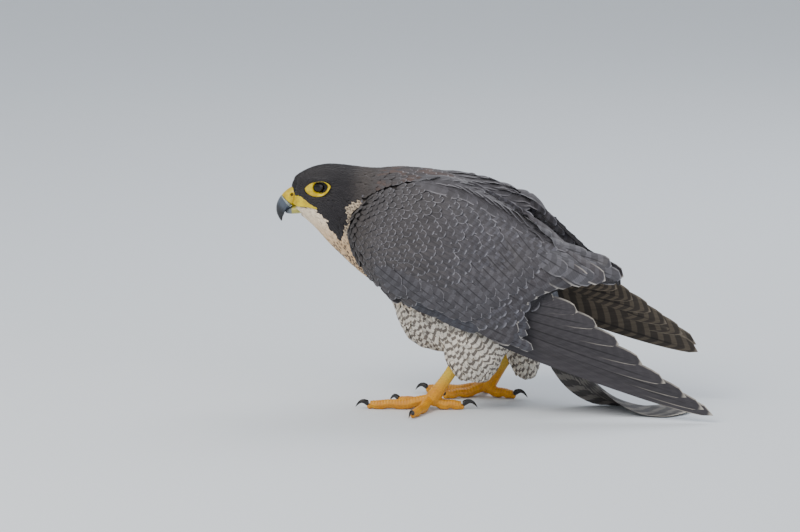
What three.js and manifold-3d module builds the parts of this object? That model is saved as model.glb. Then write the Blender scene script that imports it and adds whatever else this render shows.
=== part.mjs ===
// A peregrine falcon at life size, standing and leaning forward with its wings half folded.
// Millimetres, +Z up. The bill points along -X, the bird's left side faces -Y, the floor is z = 0.

import * as THREE from 'three';
import { LoftGeometry } from 'three/addons/geometries/LoftGeometry.js';
import { mergeVertices } from 'three/addons/utils/BufferGeometryUtils.js';
import Module from 'manifold-3d';

const wasm = await Module();
wasm.setup();

// Driving dimensions
const GAP = 0.3;                        // clearance between neighbouring pieces
const FLOOR = 0;
const EYE_HEIGHT = 188.8;
const HEAD_AT = [-147.4, -10];          // midpoint between the eyes, in plan
const HEAD_YAW = THREE.MathUtils.degToRad(12);
const EYE_RADIUS = 8;
const EYE_SIDE = 9.6;                   // eyeball centre from the head's middle plane
const EYE_TOE_OUT = 2;                  // eyeballs sit this far forward in their orbits
const TAIL_LENGTH = 160;                // the part that shows past the rump's feathers
const TAIL_SLOPE = THREE.MathUtils.degToRad(62);
const TAIL_BEND = 96;                   // radius of the tail where the floor bends it flat
const TAIL_WIDTHS = [42, 62];           // at the root and at the tip
const TAIL_ROLL = THREE.MathUtils.degToRad(-42);
const FEATHER_PLATE = 1.6;              // thinnest stack of flight feathers
const LEG_SIDE = 36;                    // each leg's distance from the middle plane
const TOE_SINK = 0.7;                   // the pads are pressed flat by this much

const SIDES = { left: -1, right: 1 };

// Materials, one for each kind of surface
const finish = (color, roughness) => new THREE.MeshStandardMaterial({ color, roughness, metalness: 0 });
const slate = finish('#3b3f46', 0.85);
const hood = finish('#23252a', 0.85);
const barred = finish('#b9aa98', 0.9);
const quill = finish('#3a3634', 0.75);
const horn = finish('#4c5a68', 0.4);
const ceraSkin = finish('#e2c22c', 0.5);
const scute = finish('#e3a419', 0.5);
const talon = finish('#17171a', 0.35);
const eyeball = finish('#1d120c', 0.08);

const vector = (x, y, z) => new THREE.Vector3(x, y, z);
const smoothstep = THREE.MathUtils.smoothstep;

// Closed solids

function closed(geometry) {
  const bare = new THREE.BufferGeometry().setAttribute('position', geometry.getAttribute('position'));
  const merged = mergeVertices(bare.setIndex(geometry.index));
  const at = merged.getAttribute('position');
  const index = Array.from(merged.index.array);
  const [a, b, c] = [vector(), vector(), vector()];
  const kept = [];
  let volume = 0;
  for (let i = 0; i < index.length; i += 3) {
    const [p, q, r] = index.slice(i, i + 3);
    if (p === q || q === r || r === p) continue;
    kept.push(p, q, r);
    a.fromBufferAttribute(at, p);
    b.fromBufferAttribute(at, q);
    c.fromBufferAttribute(at, r);
    volume += a.dot(b.cross(c));
  }
  if (volume < 0) kept.reverse();
  return new wasm.Manifold(new wasm.Mesh({
    numProp: 3,
    vertProperties: new Float32Array(at.array),
    triVerts: new Uint32Array(kept),
  }));
}

function geometryOf(solid) {
  const mesh = solid.getMesh();
  const geometry = new THREE.BufferGeometry();
  geometry.setAttribute('position', new THREE.BufferAttribute(new Float32Array(mesh.vertProperties), 3));
  geometry.setIndex(Array.from(mesh.triVerts));
  geometry.computeVertexNormals();
  return geometry;
}

// Sections run counterclockwise as seen from the far end of the loft
function loft(sections) {
  const [first, second] = sections;
  const turning = vector();
  first.forEach((point, i) => turning.add(point.clone().sub(second[0]).cross(
    first[(i + 1) % first.length].clone().sub(second[0]))));
  const onward = second.reduce((sum, point, i) => sum.add(point).sub(first[i]), vector());
  const ordered = turning.dot(onward) > 0 ? sections : sections.map((section) => section.toReversed());
  return closed(new LoftGeometry(ordered, { capStart: true, capEnd: true }));
}

// A ring of points round a centre: `up` and `side` are its half axes, `square` its superellipse power
function ring(centre, up, side, count, square = 2) {
  const power = 2 / square;
  return Array.from({ length: count }, (_, i) => {
    const angle = (i / count) * 2 * Math.PI;
    const along = Math.sign(Math.cos(angle)) * Math.abs(Math.cos(angle)) ** power;
    const across = Math.sign(Math.sin(angle)) * Math.abs(Math.sin(angle)) ** power;
    return centre.clone().addScaledVector(up, along).addScaledVector(side, across);
  });
}

const spline = (points) => new THREE.CatmullRomCurve3(points, false, 'catmullrom', 0.5);

// A smooth closed tube through [x, y, z, radius] stations, `flat` times as high as it is wide
function limb(stations, steps, count, flat = 1) {
  const route = spline(stations.map(([x, y, z]) => vector(x, y, z)));
  const girth = spline(stations.map(([, , , radius]) => vector(radius, 0, 0)));
  return loft(Array.from({ length: steps + 1 }, (_, i) => {
    const t = i / steps;
    const forward = route.getTangent(t);
    const side = vector(0, 0, 1).cross(forward).normalize();
    const up = forward.clone().cross(side).normalize();
    const radius = girth.getPoint(t).x;
    return ring(route.getPoint(t), up.multiplyScalar(radius * flat), side.multiplyScalar(radius), count);
  }));
}

// The half space behind a plane through `point`, as a large block that reaches along -normal
function behind(point, normal) {
  const reach = 900;
  const block = new THREE.BoxGeometry(reach, reach, reach);
  block.translate(0, 0, -reach / 2);
  block.applyQuaternion(new THREE.Quaternion().setFromUnitVectors(vector(0, 0, 1), normal));
  block.translate(point.x, point.y, point.z);
  return closed(block);
}

const aboveFloor = behind(vector(0, 0, FLOOR), vector(0, 0, -1));

function ball(centre, radii, turn = 0, segments = 12) {
  const sphere = new THREE.SphereGeometry(1, segments, Math.round(segments * 0.6));
  sphere.scale(...radii);
  sphere.rotateZ(turn);
  sphere.translate(centre.x, centre.y, centre.z);
  return closed(sphere);
}

// The head's own frame: forward to the bill, up, and sideways to the far side

const HEAD = vector(HEAD_AT[0], HEAD_AT[1], EYE_HEIGHT);
const FORWARD = vector(-Math.cos(HEAD_YAW), -Math.sin(HEAD_YAW), 0);
const ACROSS = vector(-Math.sin(HEAD_YAW), Math.cos(HEAD_YAW), 0);

const onHead = (forward, up, across = 0) => HEAD.clone()
  .addScaledVector(FORWARD, forward).addScaledVector(ACROSS, across).add(vector(0, 0, up));

// Head, neck and trunk are one form, a loft of stations from the face to the root of the tail.
// Each has its back point, its breast point, its half width, its yaw in degrees and its squareness.

const BODY = [
  [onHead(26.2, -1.4), onHead(21.5, -21), 8.6, 12, 2.2],
  [onHead(23.6, 6), onHead(19.5, -24), 12.2, 12, 2.2],
  [onHead(14.5, 12.2), onHead(12, -29.5), 16.8, 12, 2.2],
  [onHead(4, 16.4), onHead(3, -38), 20.6, 12, 2.2],
  [onHead(-8, 18.2), onHead(-8, -50.5), 23, 11, 2.2],
  [onHead(-21, 17), onHead(-18, -60), 24.5, 9, 2.2],
  [onHead(-34, 15.2), onHead(-29, -70.2), 27.5, 7, 2.2],
  [vector(-103, 0, 202.5), vector(-108, -3, 110), 34, 4, 2.2],
  [vector(-84, 2, 204), vector(-91.5, -2, 101), 43, 2, 2.3],
  [vector(-62, 2, 203), vector(-78, 0, 82), 50, 0, 2.4],
  [vector(-38, 2, 199.5), vector(-70, 0, 58), 52.5, 0, 2.5],
  [vector(-12, 2, 190), vector(-48, 0, 48), 52.5, 0, 2.5],
  [vector(10, 2, 175), vector(-17, 0, 48), 50, 0, 2.4],
  [vector(31, 1, 153), vector(4, -2, 55), 44, 0, 2.3],
  [vector(46, -1, 129), vector(17, -3, 61), 35, 0, 2.2],
  [vector(54, -3, 109), vector(26, -5, 62.5), 27.5, 0, 2.2],
  [vector(58.5, -5, 94), vector(33.5, -6, 65), 22.5, 0, 2.2],
  [vector(61, -6, 80.5), vector(40, -7, 67), 19.5, 0, 2.2],
];

function bodyForm(swell, steps, count) {
  const back = spline(BODY.map(([top]) => top));
  const breast = spline(BODY.map(([, low]) => low));
  const shape = spline(BODY.map(([, , half, yaw, square]) => vector(half, yaw, square)));
  return loft(Array.from({ length: steps + 1 }, (_, i) => {
    const t = i / steps;
    const [top, low, form] = [back.getPoint(t), breast.getPoint(t), shape.getPoint(t)];
    const yaw = THREE.MathUtils.degToRad(form.y);
    const centre = top.clone().add(low).multiplyScalar(0.5);
    const up = top.clone().sub(low).multiplyScalar(0.5);
    up.setLength(up.length() + swell);
    const side = vector(-Math.sin(yaw), Math.cos(yaw), 0).multiplyScalar(form.x + swell);
    const end = up.clone().cross(side).setLength(i === 0 ? swell : i === steps ? -swell : 0);
    return ring(centre.add(end), up, side, count, form.z);
  }));
}

const bodyWhole = bodyForm(0, 30, 24);
const bodySwollen = bodyForm(GAP, 30, 24);

// Planes that part the head from the neck, and the neck from the trunk

function cutBetween(back, breast) {
  const line = breast.clone().sub(back);
  const normal = vector(0, 1, 0).cross(line).normalize();
  return { point: back, normal: normal.x > 0 ? normal : normal.negate() };
}

const nape = cutBetween(onHead(-40, 16), onHead(-6, -50));
const shoulder = cutBetween(vector(-88, 0, 204), vector(-106, 0, 108));
const rump = cutBetween(BODY.at(-1)[0], BODY.at(-1)[1]);
const inFrontOf = (cut) => behind(cut.point.clone().addScaledVector(cut.normal, -GAP / 2), cut.normal);
const inBackOf = (cut) => behind(cut.point.clone().addScaledVector(cut.normal, GAP / 2),
  cut.normal.clone().negate());

// Head: brows are added, and each eye has an orbit that it sits back in

const BROW = { forward: 2.5, up: 6.6, across: 17, radii: [11, 3.4, 2.4] };
const ORBIT = { radius: 13, across: 29.5 };

function headSolid() {
  let head = bodyWhole.intersect(inFrontOf(nape));
  for (const side of Object.values(SIDES)) {
    const orbit = ball(onHead(EYE_TOE_OUT, -0.5, side * ORBIT.across), Array(3).fill(ORBIT.radius));
    const brow = ball(onHead(BROW.forward, BROW.up, side * BROW.across), BROW.radii,
      HEAD_YAW + side * 0.22);
    const socket = ball(onHead(EYE_TOE_OUT, 0, side * EYE_SIDE), Array(3).fill(EYE_RADIUS + GAP));
    head = head.subtract(orbit).add(brow).subtract(socket);
  }
  return head;
}

const eyeSolid = (side) => ball(onHead(EYE_TOE_OUT, 0, side * EYE_SIDE), Array(3).fill(EYE_RADIUS));

// Bill: one hooked form from inside the face to the tip, as culmen and cutting-edge points

const UPPER_BILL = [
  [[21.5, 0], [17, -15.2], 9.4],
  [[26.8, -2.2], [21, -16], 9.2],
  [[31, -5.4], [24.3, -17.2], 8.6],
  [[34.9, -9.6], [27, -19.2], 7.4],
  [[37.9, -14.8], [29.4, -21.4], 5.9],
  [[38.9, -20.6], [31.2, -23.8], 4.3],
  [[37.9, -26], [32.8, -26.8], 2.6],
  [[34.6, -31.6], [33.6, -31.2], 0.7],
];
const LOWER_BILL = [
  [[12, -16.4], [13, -24.5], 8],
  [[19, -16.4], [19.5, -25], 7.4],
  [[25, -18.2], [25, -25.4], 5.8],
  [[29.2, -20.6], [29, -25], 4],
  [[31, -22.6], [30.8, -24.2], 2],
];
const CERE_EDGE = { top: [33.6, -8.8], low: [24.2, -17.6] };

function billForm(stations, swell, steps, count) {
  const top = spline(stations.map(([[forward, up]]) => vector(forward, up, 0)));
  const low = spline(stations.map(([, [forward, up]]) => vector(forward, up, 0)));
  const wide = spline(stations.map(([, , half]) => vector(half, 0, 0)));
  return loft(Array.from({ length: steps + 1 }, (_, i) => {
    const t = i / steps;
    const [a, b] = [top.getPoint(t), low.getPoint(t)];
    const [upper, under] = [onHead(a.x, a.y), onHead(b.x, b.y)];
    const centre = upper.clone().add(under).multiplyScalar(0.5);
    const up = upper.sub(under).multiplyScalar(0.5);
    up.setLength(up.length() + swell);
    centre.addScaledVector(FORWARD, i === 0 ? -swell : i === steps ? swell : 0);
    return ring(centre, up, ACROSS.clone().multiplyScalar(wide.getPoint(t).x + swell), count, 2.2);
  }));
}

const cereCut = (() => {
  const [top, low] = [onHead(...CERE_EDGE.top), onHead(...CERE_EDGE.low)];
  const normal = ACROSS.clone().cross(low.sub(top)).normalize();
  return { point: top, normal: normal.dot(FORWARD) > 0 ? normal : normal.negate() };
})();

// Wings: each arm is a curved panel from the wrist back to the longest tertials. A station has the
// upper edge x, z and its distance from the middle plane, the lower edge likewise, and the widest part.

const ARM = {
  left: [
    [[-115.5, 163, 44], [-115.5, 150, 46], 48],
    [[-111, 174.5, 38], [-110, 134, 50], 57],
    [[-99, 184.5, 34], [-95, 115, 54], 62],
    [[-79, 192.5, 31], [-72, 97, 58], 66],
    [[-50, 199, 28], [-38, 84.5, 60], 68],
    [[-20, 198.5, 26], [-2, 73, 61], 69],
    [[13, 183, 24], [32, 61, 61], 67],
    [[38, 167.5, 23], [46, 88, 57], 63],
    [[59, 154, 23], [65, 106, 53], 58],
    [[88, 139.5, 28], [92, 113, 49], 52],
    [[119, 121, 36], [121, 114, 40], 41],
  ],
  right: [
    [[-115.5, 163, 44], [-115.5, 150, 46], 48],
    [[-111, 174.5, 38], [-110, 134, 50], 57],
    [[-99, 184.5, 34], [-95, 115, 54], 62],
    [[-79, 192.5, 31], [-72, 98, 58], 66],
    [[-50, 198, 28], [-38, 87, 60], 68],
    [[-24, 197, 26], [-2, 79, 61], 69],
    [[9, 189, 25], [28, 73, 61], 67],
    [[38, 172.5, 24], [46, 88, 57], 63],
    [[63, 151, 26], [64, 100, 53], 58],
    [[85, 127, 32], [87, 101, 49], 53],
    [[107, 105, 40], [109, 98, 44], 45],
  ],
};
const ARM_THICK = 13;
const ARM_EDGE = 2.4;

function armSolid(name, swell) {
  const side = SIDES[name];
  const stations = ARM[name];
  const top = spline(stations.map(([[x, z, y]]) => vector(x, side * y, z)));
  const low = spline(stations.map(([, [x, z, y]]) => vector(x, side * y, z)));
  const wide = spline(stations.map(([, , half]) => vector(half, 0, 0)));
  const steps = 18;
  const rows = 7;
  const sections = Array.from({ length: steps + 1 }, (_, i) => {
    const t = i / steps;
    const [upper, under, half] = [top.getPoint(t), low.getPoint(t), wide.getPoint(t).x + swell];
    upper.z += swell;
    under.z -= swell;
    const outer = spline([
      upper,
      upper.clone().lerp(under, 0.26).setY(side * (half - (half - Math.abs(upper.y)) * 0.3)),
      upper.clone().lerp(under, 0.62).setY(side * half),
      under,
    ]);
    const thin = smoothstep(t, 0.75, 1);
    const thick = ARM_THICK * smoothstep(t, -0.08, 0.12) * (1 - thin) + FEATHER_PLATE * 1.5 * thin;
    const outside = Array.from({ length: rows + 1 }, (_, j) => outer.getPoint(j / rows));
    const inside = outside.map((point, j) => {
      const depth = ARM_EDGE + (thick - ARM_EDGE) * Math.sin((j / rows) * Math.PI) ** 0.6;
      return point.clone().add(vector(0, -side * (Math.max(depth, FEATHER_PLATE) + 2 * swell), 0));
    });
    return [...outside, ...inside.reverse()];
  });
  return loft(sections).subtract(bodySwollen);
}

// Flight feathers past the arm: a thin tapering plate of x, upper z, lower z and distance out

const PRIMARIES = {
  left: [
    [20, 82, 64, 52],
    [40, 95, 56.5, 52],
    [60, 101.5, 50.5, 52],
    [78, 99, 44.8, 52],
    [95, 89, 39.4, 52],
    [115, 75.8, 33.4, 52],
    [136, 59, 27.2, 51.5],
    [158, 43.4, 20.6, 51],
    [178, 29.4, 14.8, 50.5],
    [192, 17.8, 10.4, 50],
    [202, 7.4, 5.6, 50],
  ],
  right: [
    [46, 106, 82.5, 50],
    [60, 108, 78.5, 50],
    [84, 110, 71.5, 49],
    [103, 106, 66, 47],
    [122, 93.6, 60.9, 45],
    [141, 80.2, 55.8, 43],
    [158, 67.2, 50.6, 41],
    [175, 53.6, 45.2, 39],
  ],
};

function primariesSolid(name, armSwollen) {
  const side = SIDES[name];
  const stations = PRIMARIES[name];
  const steps = 13;
  const edge = spline(stations.map(([x, high, low]) => vector(x, high, low)));
  const out = spline(stations.map(([x, , , y]) => vector(x, y, 0)));
  const plate = loft(Array.from({ length: steps + 1 }, (_, i) => {
    const t = i / steps;
    const { x, y: high, z: low } = edge.getPoint(t);
    const half = (FEATHER_PLATE / 2) * (1 + 1.6 * (1 - t));
    const centre = vector(x, side * out.getPoint(t).y, (high + low) / 2);
    return ring(centre, vector(0, 0, (high - low) / 2), vector(0, half, 0), 8, 3);
  }));
  return plate.subtract(armSwollen).subtract(bodySwollen);
}

// Tail: a tented plate that leaves the rump steeply and is bent flat where it meets the floor

const TAIL_ROOT = vector(50, -6.5, 74.5);
const TAIL_FLAT_THICK = 3;
const TAIL_SINK = 0.5;                  // the end of the tail is pressed flat by this much

function tailPoint(distance) {
  const drop = TAIL_ROOT.z - TAIL_FLAT_THICK / 2 + TAIL_SINK;
  const arcDrop = TAIL_BEND * (1 - Math.cos(TAIL_SLOPE));
  const straight = (drop - arcDrop) / Math.sin(TAIL_SLOPE);
  const arc = TAIL_BEND * TAIL_SLOPE;
  const run = Math.min(distance, straight);
  const turned = THREE.MathUtils.clamp(distance - straight, 0, arc) / TAIL_BEND;
  const flat = Math.max(distance - straight - arc, 0);
  const angle = TAIL_SLOPE - turned;
  const x = TAIL_ROOT.x + run * Math.cos(TAIL_SLOPE)
    + TAIL_BEND * (Math.sin(TAIL_SLOPE) - Math.sin(angle)) + flat;
  const z = TAIL_ROOT.z - run * Math.sin(TAIL_SLOPE)
    - TAIL_BEND * (Math.cos(angle) - Math.cos(TAIL_SLOPE));
  return { x, z, angle };
}

function tailSolid() {
  const steps = 16;
  const rows = 6;
  return loft(Array.from({ length: steps + 1 }, (_, i) => {
    const t = i / steps;
    const { x, z, angle } = tailPoint(t * TAIL_LENGTH);
    const lie = smoothstep(t, 0.3, 0.84);
    const roll = TAIL_ROLL * (1 - lie);
    const width = TAIL_WIDTHS[0] + (TAIL_WIDTHS[1] - TAIL_WIDTHS[0]) * t;
    const rounding = t > 0.94 ? 1 - 0.35 * smoothstep(t, 0.94, 1) : 1;
    const tent = 6 * (1 - lie);
    const thick = TAIL_FLAT_THICK * (1 + 1.2 * (1 - smoothstep(t, 0, 0.5)));
    const normal = vector(Math.sin(angle), 0, Math.cos(angle));
    const along = vector(Math.cos(angle), 0, -Math.sin(angle));
    normal.applyAxisAngle(along, roll);
    const lateral = along.clone().cross(normal);
    const centre = vector(x, TAIL_ROOT.y, z);
    const edge = (lift) => Array.from({ length: rows + 1 }, (_, j) => {
      const v = (j / rows) * 2 - 1;
      const taper = 1 - 0.55 * v ** 6;
      return centre.clone().addScaledVector(lateral, (v * width * rounding) / 2)
        .addScaledVector(normal, (lift * thick * taper) / 2 - tent * v * v);
    });
    return [...edge(1), ...edge(-1).reverse()];
  })).intersect(aboveFloor).intersect(inBackOf(rump)).subtract(bodySwollen);
}

// Thighs: feathered cones that hang from the flank, longer behind the leg than before it.
// Each level has its height, front x, back x and half width.

const THIGHS = {
  left: [
    [86, -30, 26, 17],
    [70, -33, 26, 20],
    [56, -33.5, 21, 17.5],
    [45, -30.5, 15.5, 14],
    [36.5, -26.5, 9, 10.5],
    [28, -17, 6, 7],
  ],
  right: [
    [92, -4, 42, 16],
    [76, -2, 44, 18],
    [62, 2, 42, 17],
    [48, 7, 39, 14],
    [34, 11, 35, 10.5],
    [19, 18, 31, 7],
  ],
};

function thighSolid(name) {
  const side = SIDES[name];
  const levels = spline(THIGHS[name].map(([z, front, back]) => vector(front, back, z)));
  const wide = spline(THIGHS[name].map(([, , , half]) => vector(half, 0, 0)));
  const steps = 9;
  return loft(Array.from({ length: steps + 1 }, (_, i) => {
    const { x: front, y: back, z } = levels.getPoint(i / steps);
    const centre = vector((front + back) / 2, side * LEG_SIDE, z);
    return ring(centre, vector((back - front) / 2, 0, 0), vector(0, wide.getPoint(i / steps).x, 0), 16, 2.2);
  })).subtract(bodySwollen).subtract(shankSolid(name, GAP));
}

// Feet: the bare shank and four toes. A toe has its direction in plan, its length and its claw's length.

const FEET = {
  left: { palm: [-45.5, -LEG_SIDE], top: [-20, -LEG_SIDE, 44], knuckle: [-42.5, -LEG_SIDE, 11] },
  right: { palm: [-12, LEG_SIDE], top: [18, LEG_SIDE, 50], knuckle: [-8.5, LEG_SIDE, 11] },
};
const TOES = [
  { name: 'middle', bearing: 189, length: 52, girth: 4.5, claw: 16 },
  { name: 'outer', bearing: 262, length: 43, girth: 4.1, claw: 14 },
  { name: 'inner', bearing: 148, length: 36, girth: 4.5, claw: 16 },
  { name: 'hind', bearing: 12, length: 27, girth: 4.6, claw: 18 },
];
const SHANK = 4.9;
const CLAW_STEP = 0.6;                  // a claw starts this far past its toe's tilted end

// Bearings are given for the left foot; the right foot mirrors them about its own forward direction
function toeFrame(name, toe) {
  const degrees = name === 'left' ? toe.bearing : 360 - toe.bearing;
  const angle = THREE.MathUtils.degToRad(degrees);
  return vector(Math.cos(angle), Math.sin(angle), 0);
}

function toeRoute(name, toe) {
  const [px, py] = FEET[name].palm;
  const way = toeFrame(name, toe);
  const rest = toe.girth - TOE_SINK;
  return [
    [0, 9, toe.girth * 1.05],
    [0.22, 7, toe.girth * 1.04],
    [0.45, rest + 0.3, toe.girth * 1.08],
    [0.66, rest + 1.2, toe.girth * 0.88],
    [0.84, rest - 0.2, toe.girth * 0.98],
    [1, rest + 0.7, toe.girth * 0.66],
  ].map(([t, z, radius]) => [px + way.x * toe.length * t, py + way.y * toe.length * t, z, radius]);
}

function shankSolid(name, swell) {
  const { top, knuckle, palm } = FEET[name];
  return limb([
    [top[0], top[1], top[2] + swell, SHANK * 1.1],
    [(top[0] * 2 + knuckle[0]) / 3, top[1], (top[2] * 2 + knuckle[2]) / 3, SHANK * 0.94],
    [(top[0] + knuckle[0] * 2) / 3, top[1], (top[2] + knuckle[2] * 2) / 3, SHANK],
    [...knuckle, SHANK * 1.25],
    [palm[0], palm[1], 5, SHANK * 1.02],
  ].map(([x, y, z, radius]) => [x, y, z, radius + swell]), 7, 10, 1.1);
}

const footSolid = (name) => TOES
  .reduce((foot, toe) => foot.add(limb(toeRoute(name, toe), 9, 8)), shankSolid(name, 0))
  .intersect(aboveFloor);

function clawSolid(name, toe) {
  const way = toeFrame(name, toe);
  const [x, y, z, radius] = toeRoute(name, toe).at(-1);
  const steps = 6;
  const drop = z - 0.6;
  const start = vector(x, y, z).addScaledVector(way, GAP + CLAW_STEP);
  const base = radius * 0.86;
  const reach = toe.claw * 0.82;
  const hump = toe.claw * 0.2;
  return loft(Array.from({ length: steps + 1 }, (_, i) => {
    const t = i / steps;
    const along = reach * (t - 0.12 * t * t);
    const height = hump * Math.sin(Math.PI * Math.min(t * 0.9, 1)) - drop * t * t;
    const slope = (hump * Math.PI * 0.9 * Math.cos(Math.PI * t * 0.9) - 2 * drop * t) / reach;
    const forward = way.clone().add(vector(0, 0, i === 0 ? 0 : slope)).normalize();
    const side = vector(0, 0, 1).cross(forward).normalize();
    const up = forward.clone().cross(side);
    const half = base * (1 - t) ** 0.75 + 0.28;
    const centre = start.clone().addScaledVector(way, along).add(vector(0, 0, height));
    return ring(centre, up.multiplyScalar(half), side.multiplyScalar(half * 0.8), 6);
  })).intersect(aboveFloor);
}

// The bird, put together and centred over the floor

const pieces = [];
const add = (name, solid, material) => pieces.push([name, solid, material]);

const upperBill = billForm(UPPER_BILL, 0, 12, 14);
const upperSwollen = billForm(UPPER_BILL, GAP, 12, 14);
const cereFront = cereCut.point.clone().addScaledVector(cereCut.normal, -GAP / 2);
const hornBack = cereCut.point.clone().addScaledVector(cereCut.normal, GAP / 2);
const trunk = bodyWhole.intersect(inBackOf(shoulder));

add('head', headSolid().subtract(upperSwollen).subtract(billForm(LOWER_BILL, GAP, 6, 12)), hood);
add('cere', upperBill.intersect(behind(cereFront, cereCut.normal)), ceraSkin);
add('upper_bill', upperBill.intersect(behind(hornBack, cereCut.normal.clone().negate())), horn);
add('lower_bill', billForm(LOWER_BILL, 0, 6, 12).subtract(upperSwollen), horn);
add('neck', bodyWhole.intersect(inBackOf(nape)).intersect(inFrontOf(shoulder)), hood);
add('trunk', trunk, slate);
add('tail', tailSolid(), quill);

for (const [name, side] of Object.entries(SIDES)) {
  add(`${name}_eye`, eyeSolid(side), eyeball);
  add(`${name}_wing`, armSolid(name, 0), slate);
  add(`${name}_primaries`, primariesSolid(name, armSolid(name, GAP)), quill);
  add(`${name}_thigh`, thighSolid(name), barred);
  add(`${name}_foot`, footSolid(name), scute);
  for (const toe of TOES) add(`${name}_${toe.name}_claw`, clawSolid(name, toe), talon);
}

const falcon = new THREE.Group();
for (const [name, solid, material] of pieces) {
  const mesh = new THREE.Mesh(geometryOf(solid), material);
  mesh.name = name;
  falcon.add(mesh);
}
const extent = new THREE.Box3().setFromObject(falcon);
const middle = extent.getCenter(vector());
falcon.position.set(-middle.x, -middle.y, FLOOR - extent.min.z);

export default falcon;
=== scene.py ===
"""A peregrine falcon at life size: skin, feathers, bill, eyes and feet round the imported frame."""

import math
from functools import partial

import bmesh
import bpy
import numpy as np
from mathutils import Matrix, Vector
from mathutils.bvhtree import BVHTree
from mathutils.kdtree import KDTree


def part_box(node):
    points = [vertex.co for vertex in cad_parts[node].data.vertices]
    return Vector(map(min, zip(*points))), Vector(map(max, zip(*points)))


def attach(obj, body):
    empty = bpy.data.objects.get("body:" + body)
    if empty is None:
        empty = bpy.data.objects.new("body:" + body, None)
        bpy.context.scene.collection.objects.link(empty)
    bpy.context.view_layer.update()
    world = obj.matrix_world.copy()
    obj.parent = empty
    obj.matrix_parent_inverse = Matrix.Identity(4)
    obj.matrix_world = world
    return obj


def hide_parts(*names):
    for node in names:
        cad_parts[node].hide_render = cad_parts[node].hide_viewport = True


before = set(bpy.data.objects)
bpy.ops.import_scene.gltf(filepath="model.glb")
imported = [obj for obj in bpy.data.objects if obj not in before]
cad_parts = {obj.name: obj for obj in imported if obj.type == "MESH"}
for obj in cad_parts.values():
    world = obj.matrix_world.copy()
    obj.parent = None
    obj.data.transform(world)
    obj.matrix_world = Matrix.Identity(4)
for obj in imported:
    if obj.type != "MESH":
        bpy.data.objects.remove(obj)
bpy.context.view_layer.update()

MM = 0.001
SIDES = {"left": -1, "right": 1}
WINGS = ["left_wing", "right_wing"]
THIGHS = ["left_thigh", "right_thigh"]
UP = Vector((0, 0, 1))
TUFT_PATCH = 0.003          # a tuft's width on the coat's bake map
rng = np.random.default_rng(7)


def side_name(side):
    return "left" if side < 0 else "right"


def corners(node):
    low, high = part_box(node)
    return Vector(low), Vector(high)


def middle(node):
    low, high = corners(node)
    return (low + high) / 2


# The head's frame, read from the eyes: millimetres forward, up and to the far side

EYE_FORWARD = 2.0           # the eyeballs sit this far ahead of the head's origin
LEFT_EYE, RIGHT_EYE = middle("left_eye"), middle("right_eye")
ACROSS = (RIGHT_EYE - LEFT_EYE).normalized()
FORWARD = UP.cross(ACROSS).normalized()
HEAD = (LEFT_EYE + RIGHT_EYE) / 2 - FORWARD * EYE_FORWARD * MM
HEAD_IN_PART = Vector((-147.4, -10, 188.8))     # the same point in the model's own millimetres
SHIFT = HEAD - HEAD_IN_PART * MM


def at(x, y, z):
    """A point of the model's own millimetres, in the frame."""
    return Vector((x, y, z)) * MM + SHIFT


def on_head(forward, up, across=0.0):
    return HEAD + (FORWARD * forward + UP * up + ACROSS * across) * MM


def object_from(name, data):
    made = bpy.data.objects.new(name, data)
    bpy.context.collection.objects.link(made)
    return made


# Camera: the photograph's long lens, a little behind the bird's left side and above it

AZIMUTH, ELEVATION = math.radians(12), math.radians(9)
DISTANCE = 5.0
SENSOR = 36.0
FRAME_SIZE = (800, 532)
ORIGIN_PIXEL = (490, 404)   # where the point below the body, on the floor, shows
PIXEL = 0.866 * MM          # the size of one pixel at the bird

CAMERA_RIGHT = Vector((math.cos(AZIMUTH), math.sin(AZIMUTH), 0))
CAMERA_AHEAD = Vector((-math.sin(AZIMUTH) * math.cos(ELEVATION),
                       math.cos(AZIMUTH) * math.cos(ELEVATION), -math.sin(ELEVATION)))
CAMERA_UP = CAMERA_RIGHT.cross(CAMERA_AHEAD)


def make_camera():
    data = bpy.data.cameras.new("camera")
    camera = object_from("camera", data)
    data.sensor_width = SENSOR
    data.lens = SENSOR * DISTANCE / (FRAME_SIZE[0] * PIXEL)
    data.clip_end = 100
    right = (FRAME_SIZE[0] / 2 - ORIGIN_PIXEL[0]) * PIXEL
    up = (ORIGIN_PIXEL[1] - FRAME_SIZE[1] / 2) * PIXEL
    aim = at(0, 0, 0) + CAMERA_RIGHT * right + CAMERA_UP * up
    camera.location = aim - CAMERA_AHEAD * DISTANCE
    camera.rotation_euler = CAMERA_AHEAD.to_track_quat("-Z", "Y").to_euler()
    bpy.context.scene.camera = camera


def srgb(code):
    """An sRGB hex colour as linear RGB."""
    parts = [int(code[i:i + 2], 16) / 255 for i in (1, 3, 5)]
    return tuple(c / 12.92 if c <= 0.04045 else ((c + 0.055) / 1.055) ** 2.4 for c in parts)


def rgba(code):
    return (*srgb(code), 1.0)


def node(tree, kind, settings=None, *inputs, out=0, **named):
    """Adds a node with its settings, links or sets its inputs, and gives one of its outputs.

    Inputs are in the sockets' order, or named, or numbered as _6.
    """
    made = tree.nodes.new(kind)
    for name, value in (settings or {}).items():
        setattr(made, name, value)
    given = list(enumerate(inputs))
    for name, value in named.items():
        given.append((int(name[1:]) if name[0] == "_" else name.replace("_", " "), value))
    for key, value in given:
        socket = made.inputs[key]
        if isinstance(value, bpy.types.NodeSocket):
            tree.links.new(value, socket)
        else:
            socket.default_value = value
    return made.outputs[out] if made.outputs else None


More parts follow.
